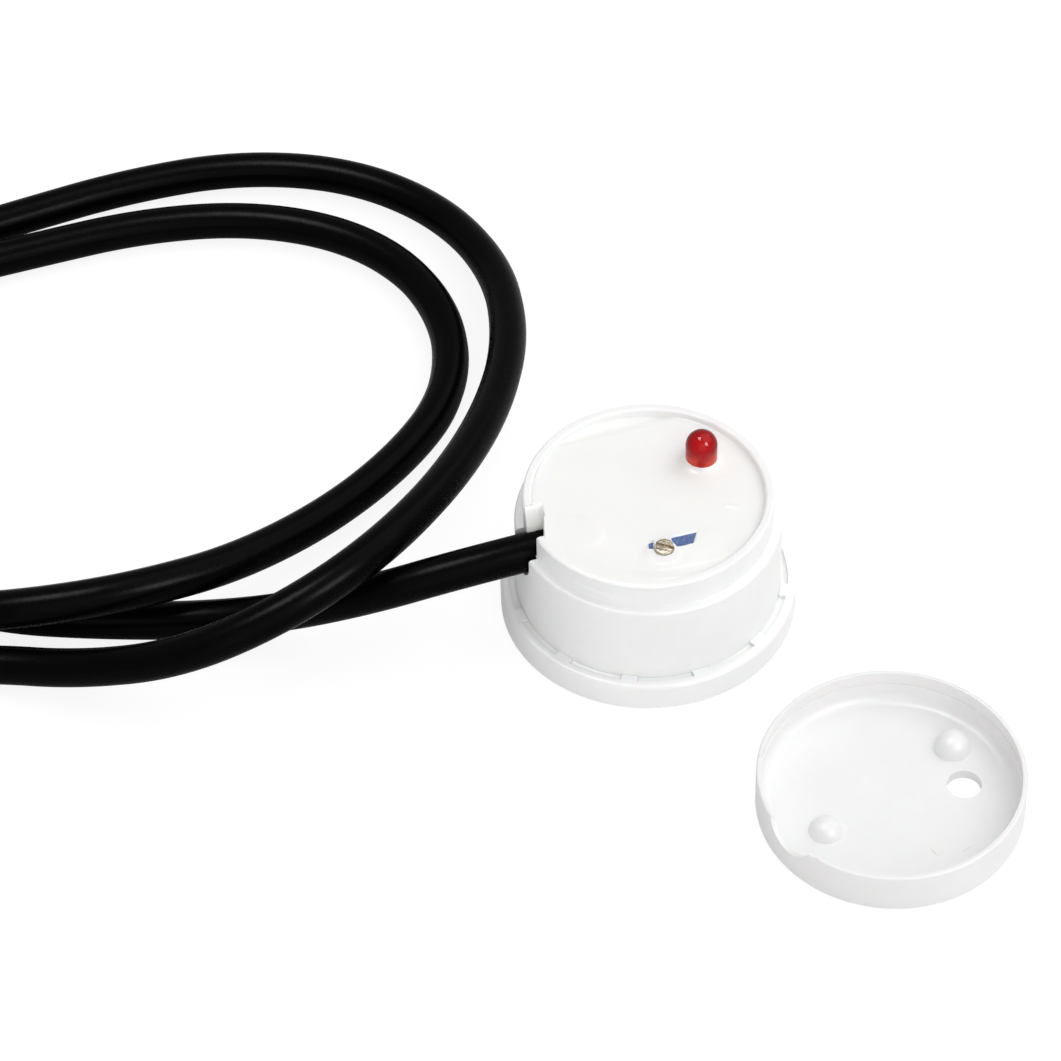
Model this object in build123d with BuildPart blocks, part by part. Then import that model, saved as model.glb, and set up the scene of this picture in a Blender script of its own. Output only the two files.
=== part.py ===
from build123d import *
import math
import os

os.makedirs("parts", exist_ok=True)

# A round stick-on water level sensor with its cap taken off and its cable in two loose loops.
# Millimetres. The origin is the centre of the sensing face, on the surface. +Z is up.

# Housing tube: a wide body below, a narrower neck for the cap above
body_radius = 12.5
body_wall = 1.2
body_height = 10.5
shoulder_width = 0.8
shoulder_thickness = 0.9
neck_wall = 0.9
neck_height = 2.9
shoulder_fillet = 0.3
rim_fillet = 0.25
bead_angles = (-118, 62)
bead_sweep = 20
bead_height = 0.7
bead_proud = 0.15
bead_above_shoulder = 1.1

# Base dish that holds the tube between crush ribs
dish_gap = 0.7
dish_wall = 0.8
dish_height = 3.0
dish_floor = 1.0
dish_edge_fillet = 0.45
dish_foot_fillet = 0.2
rib_count = 12
rib_width = 1.5
rib_start_angle = -10
rib_fit = 0.02

# Circuit board on posts of the dish
board_thickness = 1.0
board_clearance = 0.4
post_count = 3
post_diameter = 1.8
post_inset = 1.6
post_height = 5.25
post_start_angle = 90
pin_tail = 1.0
pin_hole_clearance = 0.05

# Sensing electrode under the board
pad_thickness = 0.2
electrode_thickness = 0.3
electrode_gap = 0.4
electrode_pin_diameter = 1.0
electrode_pin_inset = 0.53
electrode_pin_angle = 159.6
electrode_pin_head = 0.6
electrode_solder_radius = 1.0
electrode_solder_tip_radius = 0.6
electrode_solder_height = 0.3

# Indicator
led_place = (5.15, 4.65)
led_row_angle = 131
led_standoff = 4.8
led_diameter = 3.0
led_flange_diameter = 3.8
led_flange_height = 1.0
led_height = 5.3
led_flat_depth = 0.25
led_lead_pitch = 2.54
led_lead_size = 0.45
led_jog_low = 0.25
led_jog_high = 0.7
anode_post_offset = 0.75
anode_post_top = 2.3
cathode_post_offset = -0.25
cathode_post_top = 1.9
cup_height = 0.6
cup_base_radius = 0.3
cup_rim_radius = 0.6
cup_recess_depth = 0.35
cup_recess_radius = 0.42
cup_recess_floor_radius = 0.25
die_size = 0.28

# Trimmer: blue case, drive screw, worm-driven wiper and ceramic element
trimmer_wall_distance = 3.163
trimmer_place_angle = -66.0
trimmer_angle = 15
trimmer_length = 6.6
trimmer_width = 4.0
trimmer_height = 6.7
trimmer_wall = 0.5
trimmer_bottom = 0.6
trimmer_top_wall = 0.8
trimmer_corner_fillet = 0.25
trimmer_edge_fillet = 0.15
screw_offset = (-1.85, 0.55)
screw_head_diameter = 1.78
screw_head_rise = 0.8
screw_counterbore = 0.4
screw_neck_diameter = 1.1
screw_slot_width = 0.35
screw_slot_depth = 0.4
screw_slot_angle = -37
screw_running_clearance = 0.05
worm_diameter = 1.4
wiper_diameter = 3.3
wiper_thickness = 0.9
wiper_axle_diameter = 0.8
wiper_gap = 0.06
wiper_tooth_count = 16
wiper_tooth_depth = 0.2
wiper_tooth_gap = 0.3
wiper_arm_radius = 1.2
wiper_arm_size = 0.4
element_thickness = 0.7
element_top_gap = 0.3
element_margin = 0.1
trimmer_pin_diameter = 0.5
trimmer_pin_pitch = 2.54

# Surface-mounted parts: lengths along X, widths along Y
touch_chip_place = (-2.6, 5.0)
touch_chip_size = (4.9, 3.9, 1.4)
touch_chip_pitch = 1.27
touch_lead_width = 0.4
touch_lead_reach = 1.0
regulator_place = (-1.0, -1.2)
regulator_size = (4.5, 2.5, 1.5)
regulator_pitch = 1.5
regulator_lead_width = 0.45
regulator_lead_reach = 0.85
regulator_tab_width = 1.6
transistor_place = (3.2, 0.3)
transistor_size = (2.9, 1.3, 1.0)
transistor_pitch = 1.9
transistor_lead_width = 0.42
transistor_lead_reach = 0.55
diode_place = (8.0, -0.5)
diode_size = (1.6, 2.7, 1.1)
diode_lead_width = 0.6
diode_lead_reach = 0.5
lead_thickness = 0.15
chip_length = 1.6
chip_width = 0.8
chip_end_length = 0.3
resistor_height = 0.45
capacitor_height = 0.8
resistor_places = ((-2.6, -5.2), (-2.6, -6.8), (1.5, 3.2), (1.5, 4.8), (1.5, 6.4))
capacitor_places = ((1.5, 8.2), (-6.6, -6.0), (-7.4, 5.4), (4.6, -2.6), (8.3, -4.2))

# Solder
solder_radius = 0.55
solder_tip_radius = 0.4
solder_height = 0.7

# Cable
cable_diameter = 3.7
bend_share = 0.45
core_diameter = 1.1
core_offset = 0.62
conductor_diameter = 0.6
notch_clearance = 0.25
core_bend_radius = 0.9
lower_core_run = 1.7
upper_core_run = 3.7
core_end_gap = 0.5
core_strip_length = 5.0
cable_route = [
    (-8.5, -2.4, 10.4), (-17.2, -5.0, 10.4), (-26.2, -5.6, 7.6), (-35.0, -4.1, 3.7),
    (-43.6, -3.0, 1.85), (-52.2, -2.6, 1.85), (-61.0, -1.6, 1.85), (-69.4, 1.4, 1.85),
    (-77.0, 6.8, 1.85), (-82.2, 14.6, 1.85), (-84.0, 23.8, 1.85), (-82.2, 33.0, 1.85),
    (-77.2, 40.8, 1.85), (-69.8, 45.8, 1.85), (-61.2, 48.5, 1.85), (-50.5, 51.7, 1.85),
    (-39.4, 52.5, 1.85), (-29.2, 49.7, 1.85), (-21.9, 43.4, 1.85), (-18.2, 34.4, 1.85),
    (-18.9, 24.5, 2.4), (-23.5, 15.9, 3.2), (-30.4, 8.0, 3.9), (-38.8, 1.2, 5.2),
    (-47.2, -3.3, 6.9), (-55.4, -5.0, 6.9), (-64.0, -4.6, 5.6), (-72.8, -1.8, 3.2),
    (-80.9, 4.0, 1.85), (-86.7, 12.8, 1.85), (-88.8, 23.4, 1.85), (-86.9, 34.0, 1.85),
    (-81.4, 43.2, 1.85), (-73.0, 49.5, 1.85), (-63.2, 53.5, 1.85), (-52.2, 57.8, 1.85),
    (-40.6, 60.3, 1.85), (-29.0, 58.8, 1.85), (-19.6, 53.0, 1.85), (-13.8, 43.2, 2.9),
    (-12.3, 31.6, 4.8), (-14.0, 19.6, 7.0), (-18.3, 7.2, 9.9), (-25.2, -4.5, 12.4),
    (-34.2, -10.8, 10.9), (-43.8, -12.4, 7.1), (-53.4, -9.9, 3.2), (-62.4, -7.6, 1.85),
    (-70.8, -7.9, 1.85), (-78.8, -6.2, 1.85), (-85.4, -2.2, 1.85),
]

# Free cores at the end of the cable: name, side and height in the cable, angle of the fan
core_layout = [
    ("brown", -1, 1, 24),
    ("yellow", 1, 1, -10),
    ("blue", -1, -1, 9),
    ("black", 1, -1, -26),
]
fan_runs = (5.0, 6.5, 7.0, 6.5)
fan_fall_shares = (0, 0.25, 1, 1)
fan_turn_shares = (0, 0.5, 1, 0.8)
tip_diameter = 0.7

# Resin
potting_recess = 0.425
potting_tilt = 2.0
potting_high_angle = -150
potting_skin = 0.02
notch_fill_length = 2.6
notch_fill_drop = 0.9
screw_window_radius = 1.3
case_window = ((-0.63, 0), (1.66, 0), (0.97, -0.78), (-0.35, -1.17), (-0.7, -0.75))
corner_window_length = 0.5
corner_window_depth = 1.1

# Cap, lying open side up
cap_place = (20.95, -26.09)
cap_arch_angle = -144.4
cap_inset = 0.25
cap_height = 4.5
cap_floor = 1.0
cap_fit = 0.1
cap_floor_dish = 1.0
cap_edge_fillet = 0.5
cap_mouth_fillet = 0.2
cap_groove_depth = 0.1
cap_groove_height = 0.8
cap_hole_clearance = 0.1
cap_arch_clearance = 1.05

# Studs inside the cap: distance from its axis, angle, half width, height
cap_studs = ((8.33, 42.5, 1.7, 1.7), (7.1, -149, 1.6, 1.2))


def polar(radius, angle):
    """Place on the plan at a radius and an angle in degrees."""
    return (radius * math.cos(math.radians(angle)), radius * math.sin(math.radians(angle)))


# Heights and radii that follow from the sizes above
neck_radius = body_radius - shoulder_width
bore_radius = body_radius - body_wall
neck_bore_radius = neck_radius - neck_wall
dish_bore_radius = body_radius + dish_gap
dish_radius = dish_bore_radius + dish_wall
shoulder_z = dish_floor + body_height
rim_z = shoulder_z + neck_height
board_underside = dish_floor + post_height
board_top = board_underside + board_thickness
board_radius = bore_radius - board_clearance
post_circle_radius = board_radius - post_inset
tail_z = board_underside - pin_tail
electrode_radius = post_circle_radius - post_diameter / 2 - electrode_gap
electrode_pin_place = polar(electrode_radius - electrode_pin_inset, electrode_pin_angle)
electrode_z = dish_floor + pad_thickness
electrode_top = electrode_z + electrode_thickness
led_seat = board_top + led_standoff
trimmer_place = polar(neck_bore_radius - trimmer_wall_distance, trimmer_place_angle)
trimmer_top = board_top + trimmer_height
cable_radius = cable_diameter / 2
core_radius = core_diameter / 2
potting_level = rim_z - potting_recess
notch_half = cable_radius + notch_clearance


def bend_radii(points):
    """Radius of each corner of a cord: a share of its shorter run over the tangent of half the turn."""
    radii = []
    for before, corner, after in zip(points, points[1:], points[2:]):
        run_in = Vector(*corner) - Vector(*before)
        run_out = Vector(*after) - Vector(*corner)
        half_turn = math.radians(run_in.get_angle(run_out)) / 2
        radii.append(bend_share * min(run_in.length, run_out.length) / math.tan(half_turn))
    return radii


def upright_plane(place, height, angle):
    """Standing plane at a place on the plan: local x along the angle, local y up."""
    along = Vector(*polar(1, angle))
    return Plane(origin=(*place, height), x_dir=along, z_dir=along.cross(Vector(0, 0, 1)))


def flat_plane(place, height, angle):
    """Level plane at a place on the plan, its local x along the angle."""
    return Plane(origin=(*place, height), x_dir=Vector(*polar(1, angle)), z_dir=(0, 0, 1))


def gull_wing_lead(root, outward, exit_height, width, reach):
    """Bent lead from a case side, out and down to the board: root is on the board under the side."""
    plane = Plane(origin=root, x_dir=outward, z_dir=Vector(*outward).cross(Vector(0, 0, 1)))
    half = lead_thickness / 2
    shelf_end = 0.35 * reach
    foot_start = 0.5 * reach
    bend_slack = 0.08 * reach
    with BuildPart() as lead:
        with BuildSketch(plane):
            with BuildLine():
                Polyline(
                    (0, exit_height + half),
                    (shelf_end, exit_height + half),
                    (foot_start, lead_thickness),
                    (reach, lead_thickness),
                    (reach, 0),
                    (foot_start - bend_slack, 0),
                    (shelf_end - bend_slack, exit_height - half),
                    (0, exit_height - half),
                    close=True,
                )
            make_face()
        extrude(amount=width / 2, both=True)
    return lead.part


# Base dish
dish_plane = Plane.XY
with BuildPart() as base_flange:
    with BuildSketch(dish_plane):
        Circle(dish_radius)
    extrude(amount=dish_height)
    fillet(base_flange.edges().group_by(Axis.Z)[-1], dish_edge_fillet)
    fillet(base_flange.edges().group_by(Axis.Z)[0], dish_foot_fillet)
    with BuildSketch(dish_plane.offset(dish_floor)):
        Circle(dish_bore_radius)
        with PolarLocations(dish_bore_radius, rib_count, start_angle=rib_start_angle):
            Rectangle(2 * (dish_gap - rib_fit), rib_width, mode=Mode.SUBTRACT)
    extrude(amount=dish_height, mode=Mode.SUBTRACT)
    with BuildSketch(dish_plane.offset(dish_floor)):
        with PolarLocations(post_circle_radius, post_count, start_angle=post_start_angle):
            Circle(post_diameter / 2)
    extrude(amount=post_height)
base_flange.part.label = "base_flange"
export_step(base_flange.part, "parts/base_flange.step")

# Cable exit: local x to the side, local y up, local z out along the first run
exit_direction = (Vector(*cable_route[1]) - Vector(*cable_route[0])).normalized()
exit_side = Vector(0, 0, 1).cross(exit_direction)
exit_plane = Plane(origin=cable_route[0], x_dir=exit_side, z_dir=exit_direction)
exit_angle = math.degrees(math.atan2(exit_direction.Y, exit_direction.X))

# Housing tube
with BuildPart() as housing_body:
    with BuildSketch(Plane.XY.offset(dish_floor)):
        Circle(body_radius)
    extrude(amount=body_height)
    fillet(housing_body.edges().group_by(Axis.Z)[-1], shoulder_fillet)
    with BuildSketch(Plane.XY.offset(shoulder_z)):
        Circle(neck_radius)
    extrude(amount=neck_height)
    with BuildSketch(Plane.XY.offset(dish_floor)):
        Circle(bore_radius)
    extrude(amount=body_height - shoulder_thickness, mode=Mode.SUBTRACT)
    with BuildSketch(Plane.XY.offset(dish_floor)):
        Circle(neck_bore_radius)
    extrude(amount=body_height + neck_height, mode=Mode.SUBTRACT)
    fillet(housing_body.edges().group_by(Axis.Z)[-1], rim_fillet)
    for bead_angle in bead_angles:
        with BuildSketch(upright_plane((0, 0), shoulder_z + bead_above_shoulder,
                                       bead_angle - bead_sweep / 2)):
            with BuildLine():
                Polyline(
                    (neck_radius, -bead_height / 2),
                    (neck_radius - neck_wall / 2, -bead_height / 2),
                    (neck_radius - neck_wall / 2, bead_height / 2),
                    (neck_radius, bead_height / 2),
                )
                ThreePointArc(
                    (neck_radius, bead_height / 2),
                    (neck_radius + bead_proud, 0),
                    (neck_radius, -bead_height / 2),
                )
            make_face()
        revolve(axis=Axis.Z, revolution_arc=bead_sweep)
    with BuildSketch(exit_plane):
        Circle(notch_half)
        Rectangle(2 * notch_half, rim_z, align=(Align.CENTER, Align.MIN))
    extrude(amount=body_radius, mode=Mode.SUBTRACT)
housing_body.part.label = "housing_body"
export_step(housing_body.part, "parts/housing_body.step")

# Glue film under the electrode
with BuildPart() as adhesive_pad:
    with BuildSketch(Plane.XY.offset(dish_floor)):
        Circle(electrode_radius)
    extrude(amount=pad_thickness)
adhesive_pad.part.label = "adhesive_pad"
export_step(adhesive_pad.part, "parts/adhesive_pad.step")

# Copper disc that senses through the dish floor
with BuildPart() as sensing_electrode:
    with BuildSketch(Plane.XY.offset(electrode_z)):
        Circle(electrode_radius)
    extrude(amount=electrode_thickness)
sensing_electrode.part.label = "sensing_electrode"
export_step(sensing_electrode.part, "parts/sensing_electrode.step")

# Pin from the electrode through the board
electrode_pin_top = board_top + electrode_pin_head
with BuildPart() as electrode_pin:
    with BuildSketch(flat_plane(electrode_pin_place, electrode_top, 0)):
        Circle(electrode_pin_diameter / 2)
    extrude(amount=electrode_pin_top - electrode_top)
electrode_pin.part.label = "electrode_pin"
export_step(electrode_pin.part, "parts/electrode_pin.step")

# Indicator: its local x runs along the lead row, anode side positive
led_flat = flat_plane(led_place, led_seat, led_row_angle)
led_upright = upright_plane(led_place, led_seat, led_row_angle)
led_flange_radius = led_flange_diameter / 2
led_radius = led_diameter / 2
led_axis = Axis((*led_place, led_seat), (0, 0, 1))
lead_half = led_lead_size / 2
lead_centre = led_lead_pitch / 2
lead_bottom = tail_z - led_seat

with BuildPart() as led_anode_lead:
    with BuildSketch(led_upright):
        with BuildLine():
            Polyline(
                (lead_centre - lead_half, lead_bottom),
                (lead_centre + lead_half, lead_bottom),
                (lead_centre + lead_half, led_jog_high),
                (anode_post_offset + lead_half, led_jog_high),
                (anode_post_offset + lead_half, anode_post_top),
                (anode_post_offset - lead_half, anode_post_top),
                (anode_post_offset - lead_half, led_jog_low),
                (lead_centre - lead_half, led_jog_low),
                close=True,
            )
        make_face()
    extrude(amount=lead_half, both=True)
led_anode_lead.part.label = "led_anode_lead"
export_step(led_anode_lead.part, "parts/led_anode_lead.step")

cup_axis = Axis(led_flat.from_local_coords((cathode_post_offset, 0, 0)), (0, 0, 1))
cup_top = cathode_post_top + cup_height
with BuildPart() as led_cathode_lead:
    with BuildSketch(led_upright):
        with BuildLine():
            Polyline(
                (-lead_centre - lead_half, lead_bottom),
                (-lead_centre + lead_half, lead_bottom),
                (-lead_centre + lead_half, led_jog_low),
                (cathode_post_offset + lead_half, led_jog_low),
                (cathode_post_offset + lead_half, cathode_post_top),
                (cathode_post_offset - lead_half, cathode_post_top),
                (cathode_post_offset - lead_half, led_jog_high),
                (-lead_centre - lead_half, led_jog_high),
                close=True,
            )
        make_face()
    extrude(amount=lead_half, both=True)
    with BuildSketch(led_upright):
        with BuildLine():
            Polyline(
                (cathode_post_offset, cathode_post_top),
                (cathode_post_offset + cup_base_radius, cathode_post_top),
                (cathode_post_offset + cup_rim_radius, cup_top),
                (cathode_post_offset + cup_recess_radius, cup_top),
                (cathode_post_offset + cup_recess_floor_radius, cup_top - cup_recess_depth),
                (cathode_post_offset, cup_top - cup_recess_depth),
                close=True,
            )
        make_face()
    revolve(axis=cup_axis)
led_cathode_lead.part.label = "led_cathode_lead"
export_step(led_cathode_lead.part, "parts/led_cathode_lead.step")

die_floor = led_seat + cup_top - cup_recess_depth
die_place = led_flat.from_local_coords((cathode_post_offset, 0, 0))
with BuildPart() as led_die:
    with BuildSketch(flat_plane((die_place.X, die_place.Y), die_floor, led_row_angle)):
        Rectangle(die_size, die_size)
    extrude(amount=die_size)
led_die.part.label = "led_die"
export_step(led_die.part, "parts/led_die.step")

with BuildPart() as led_shape:
    with BuildSketch(led_upright):
        with BuildLine():
            Polyline(
                (0, led_height),
                (0, 0),
                (led_flange_radius, 0),
                (led_flange_radius, led_flange_height),
                (led_radius, led_flange_height),
                (led_radius, led_height - led_radius),
            )
            TangentArc((0, led_height), (led_radius, led_height - led_radius), tangent=(1, 0))
        make_face()
    revolve(axis=led_axis)
    with BuildSketch(led_flat):
        with Locations((led_flat_depth - led_flange_radius, 0)):
            Rectangle(led_flange_radius, led_flange_diameter, align=(Align.MAX, Align.CENTER))
    extrude(amount=led_flange_height, mode=Mode.SUBTRACT)

with BuildPart() as led_lens:
    add(led_shape.part)
    add(led_anode_lead.part, mode=Mode.SUBTRACT)
    add(led_cathode_lead.part, mode=Mode.SUBTRACT)
    add(led_die.part, mode=Mode.SUBTRACT)
led_lens.part.label = "led_lens"
export_step(led_lens.part, "parts/led_lens.step")

# Trimmer: its local x runs along the case, its local y towards the puck's middle
trimmer_flat = flat_plane(trimmer_place, board_top, trimmer_angle)
trimmer_ceiling = trimmer_height - trimmer_top_wall
screw_head_radius = screw_head_diameter / 2
screw_neck_radius = screw_neck_diameter / 2
worm_radius = worm_diameter / 2
wiper_radius = wiper_diameter / 2
wiper_axle_radius = wiper_axle_diameter / 2
case_bore_length = trimmer_length - 2 * trimmer_wall
case_bore_width = trimmer_width - 2 * trimmer_wall
element_front = -case_bore_width / 2
element_back = element_front + element_thickness
element_width = case_bore_length - 2 * element_margin
pin_row = element_front + element_thickness / 2
wiper_centre_x = screw_offset[0] + worm_radius + wiper_gap + wiper_radius
wiper_centre_z = (trimmer_bottom + trimmer_ceiling) / 2
wiper_centre = trimmer_flat.from_local_coords((wiper_centre_x, 0, wiper_centre_z))
across = Vector(*polar(1, trimmer_angle + 90))
wiper_plane = Plane(origin=wiper_centre, x_dir=Vector(*polar(1, trimmer_angle)), z_dir=across)
counterbore_floor = trimmer_height - screw_counterbore

with BuildPart() as trimmer_body:
    with BuildSketch(trimmer_flat):
        Rectangle(trimmer_length, trimmer_width)
    extrude(amount=trimmer_height)
    fillet(trimmer_body.edges().filter_by(Axis.Z), trimmer_corner_fillet)
    fillet(trimmer_body.edges().group_by(Axis.Z)[-1], trimmer_edge_fillet)
    with BuildSketch(trimmer_flat.offset(trimmer_bottom)):
        Rectangle(case_bore_length, case_bore_width)
    extrude(amount=trimmer_ceiling - trimmer_bottom, mode=Mode.SUBTRACT)
    with BuildSketch(trimmer_flat.offset(trimmer_ceiling)):
        with Locations(screw_offset):
            Circle(screw_neck_radius + screw_running_clearance)
    extrude(amount=trimmer_top_wall, mode=Mode.SUBTRACT)
    with BuildSketch(trimmer_flat.offset(counterbore_floor)):
        with Locations(screw_offset):
            Circle(screw_head_radius + screw_running_clearance)
    extrude(amount=screw_counterbore, mode=Mode.SUBTRACT)
    with BuildSketch(trimmer_flat):
        with Locations((0, pin_row)):
            with GridLocations(trimmer_pin_pitch, 0, 3, 1):
                Circle(trimmer_pin_diameter / 2 + pin_hole_clearance)
    extrude(amount=trimmer_bottom, mode=Mode.SUBTRACT)
trimmer_body.part.label = "trimmer_body"
export_step(trimmer_body.part, "parts/trimmer_body.step")

screw_axis_gap = screw_running_clearance
with BuildPart() as trimmer_screw:
    with BuildSketch(trimmer_flat.offset(counterbore_floor + screw_axis_gap)):
        with Locations(screw_offset):
            Circle(screw_head_radius)
    extrude(amount=screw_counterbore + screw_head_rise - screw_axis_gap)
    fillet(trimmer_screw.edges().group_by(Axis.Z)[-1], trimmer_edge_fillet)
    with BuildSketch(trimmer_flat.offset(trimmer_height + screw_head_rise - screw_slot_depth)):
        with Locations(Location((*screw_offset, 0), (0, 0, screw_slot_angle))):
            Rectangle(2 * screw_head_diameter, screw_slot_width)
    extrude(amount=screw_slot_depth, mode=Mode.SUBTRACT)
    with BuildSketch(trimmer_flat.offset(trimmer_bottom + 2 * screw_axis_gap)):
        with Locations(screw_offset):
            Circle(worm_radius)
    extrude(amount=trimmer_ceiling - trimmer_bottom - 3 * screw_axis_gap)
    with BuildSketch(trimmer_flat.offset(trimmer_ceiling - 2 * screw_axis_gap)):
        with Locations(screw_offset):
            Circle(screw_neck_radius)
    extrude(amount=trimmer_top_wall)
trimmer_screw.part.label = "trimmer_screw"
export_step(trimmer_screw.part, "parts/trimmer_screw.step")

with BuildPart() as trimmer_element:
    with BuildSketch(trimmer_flat.offset(trimmer_bottom)):
        with Locations((0, pin_row)):
            Rectangle(element_width, element_thickness)
    extrude(amount=trimmer_ceiling - trimmer_bottom - element_top_gap)
    with BuildSketch(wiper_plane.offset(element_front)):
        Circle(wiper_axle_radius + screw_running_clearance)
    extrude(amount=element_thickness, mode=Mode.SUBTRACT)
trimmer_element.part.label = "trimmer_element"
export_step(trimmer_element.part, "parts/trimmer_element.step")

wiper_front = screw_offset[1] - wiper_thickness / 2
axle_front = element_front + screw_running_clearance
axle_back = case_bore_width / 2 - screw_running_clearance
arm_front = element_back + screw_running_clearance
with BuildPart() as trimmer_wiper:
    with BuildSketch(wiper_plane.offset(wiper_front)):
        Circle(wiper_radius)
        with PolarLocations(wiper_radius, wiper_tooth_count):
            Rectangle(2 * wiper_tooth_depth, wiper_tooth_gap, mode=Mode.SUBTRACT)
    extrude(amount=wiper_thickness)
    with BuildSketch(wiper_plane.offset(axle_front)):
        Circle(wiper_axle_radius)
    extrude(amount=axle_back - axle_front)
    with BuildSketch(wiper_plane.offset(arm_front)):
        with Locations((wiper_arm_radius, 0)):
            Rectangle(wiper_arm_size, wiper_arm_size)
    extrude(amount=wiper_front - arm_front)
trimmer_wiper.part.label = "trimmer_wiper"
export_step(trimmer_wiper.part, "parts/trimmer_wiper.step")

with BuildPart() as trimmer_pins:
    with BuildSketch(trimmer_flat.offset(tail_z - board_top)):
        with Locations((0, pin_row)):
            with GridLocations(trimmer_pin_pitch, 0, 3, 1):
                Circle(trimmer_pin_diameter / 2)
    extrude(amount=board_top + trimmer_bottom - tail_z)
trimmer_pins.part.label = "trimmer_pins"
export_step(trimmer_pins.part, "parts/trimmer_pins.step")

# Touch sensing chip
with BuildPart() as touch_chip:
    with BuildSketch(flat_plane(touch_chip_place, board_top + lead_thickness, 0)):
        Rectangle(touch_chip_size[0], touch_chip_size[1])
    extrude(amount=touch_chip_size[2])
    chamfer(touch_chip.edges().group_by(Axis.Z)[-1], lead_thickness)
touch_chip.part.label = "touch_chip"
export_step(touch_chip.part, "parts/touch_chip.step")

touch_lead_solids = [
    gull_wing_lead(
        (
            touch_chip_place[0] + (index - 1.5) * touch_chip_pitch,
            touch_chip_place[1] + side * touch_chip_size[1] / 2,
            board_top,
        ),
        (0, side, 0),
        touch_chip_size[2] / 2,
        touch_lead_width,
        touch_lead_reach,
    )
    for side in (1, -1)
    for index in range(4)
]
with BuildPart() as touch_chip_leads:
    add(touch_lead_solids)
touch_chip_leads.part.label = "touch_chip_leads"
export_step(touch_chip_leads.part, "parts/touch_chip_leads.step")

# Voltage regulator with a tab behind and three leads in front
regulator_front = regulator_place[1] - regulator_size[1] / 2
regulator_back = regulator_place[1] + regulator_size[1] / 2
with BuildPart() as voltage_regulator:
    with BuildSketch(flat_plane(regulator_place, board_top + lead_thickness, 0)):
        Rectangle(regulator_size[0], regulator_size[1])
    extrude(amount=regulator_size[2])
    chamfer(voltage_regulator.edges().group_by(Axis.Z)[-1], lead_thickness)
voltage_regulator.part.label = "voltage_regulator"
export_step(voltage_regulator.part, "parts/voltage_regulator.step")

with BuildPart() as regulator_leads:
    with BuildSketch(Plane.XY.offset(board_top)):
        with Locations((regulator_place[0], regulator_front)):
            with GridLocations(regulator_pitch, 0, 3, 1):
                Rectangle(regulator_lead_width, 2 * regulator_lead_reach)
        with Locations((regulator_place[0], regulator_back)):
            Rectangle(regulator_tab_width, 2 * regulator_lead_reach)
    extrude(amount=lead_thickness)
regulator_leads.part.label = "regulator_leads"
export_step(regulator_leads.part, "parts/regulator_leads.step")

# Output transistor: two leads in front, one behind
with BuildPart() as output_transistor:
    with BuildSketch(flat_plane(transistor_place, board_top + lead_thickness, 0)):
        Rectangle(transistor_size[0], transistor_size[1])
    extrude(amount=transistor_size[2])
    chamfer(output_transistor.edges().group_by(Axis.Z)[-1], lead_thickness)
output_transistor.part.label = "output_transistor"
export_step(output_transistor.part, "parts/output_transistor.step")

transistor_lead_solids = [
    gull_wing_lead(
        (
            transistor_place[0] + offset * transistor_pitch / 2,
            transistor_place[1] + side * transistor_size[1] / 2,
            board_top,
        ),
        (0, side, 0),
        transistor_size[2] / 2,
        transistor_lead_width,
        transistor_lead_reach,
    )
    for side, offset in ((-1, -1), (-1, 1), (1, 0))
]
with BuildPart() as transistor_leads:
    add(transistor_lead_solids)
transistor_leads.part.label = "transistor_leads"
export_step(transistor_leads.part, "parts/transistor_leads.step")

# Protection diode with a flat lead at each end
with BuildPart() as protection_diode:
    with BuildSketch(flat_plane(diode_place, board_top + lead_thickness, 0)):
        Rectangle(diode_size[0], diode_size[1])
    extrude(amount=diode_size[2])
    chamfer(protection_diode.edges().group_by(Axis.Z)[-1], lead_thickness)
protection_diode.part.label = "protection_diode"
export_step(protection_diode.part, "parts/protection_diode.step")

with BuildPart() as diode_leads:
    with BuildSketch(Plane.XY.offset(board_top)):
        with Locations(diode_place):
            with GridLocations(0, diode_size[1], 1, 2):
                Rectangle(diode_lead_width, 2 * diode_lead_reach)
    extrude(amount=lead_thickness)
diode_leads.part.label = "diode_leads"
export_step(diode_leads.part, "parts/diode_leads.step")

# Chip resistors and capacitors, their solderable ends apart
chip_middle = chip_length - 2 * chip_end_length
chip_end_pitch = chip_length - chip_end_length
with BuildPart() as chip_resistors:
    with BuildSketch(Plane.XY.offset(board_top)):
        with Locations(*resistor_places):
            Rectangle(chip_middle, chip_width)
    extrude(amount=resistor_height)
chip_resistors.part.label = "chip_resistors"
export_step(chip_resistors.part, "parts/chip_resistors.step")

with BuildPart() as chip_capacitors:
    with BuildSketch(Plane.XY.offset(board_top)):
        with Locations(*capacitor_places):
            Rectangle(chip_middle, chip_width)
    extrude(amount=capacitor_height)
chip_capacitors.part.label = "chip_capacitors"
export_step(chip_capacitors.part, "parts/chip_capacitors.step")

with BuildPart() as chip_end_caps:
    for places, height in ((resistor_places, resistor_height), (capacitor_places, capacitor_height)):
        with BuildSketch(Plane.XY.offset(board_top)):
            with Locations(*places):
                with GridLocations(chip_end_pitch, 0, 2, 1):
                    Rectangle(chip_end_length, chip_width)
        extrude(amount=height)
chip_end_caps.part.label = "chip_end_caps"
export_step(chip_end_caps.part, "parts/chip_end_caps.step")

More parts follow.
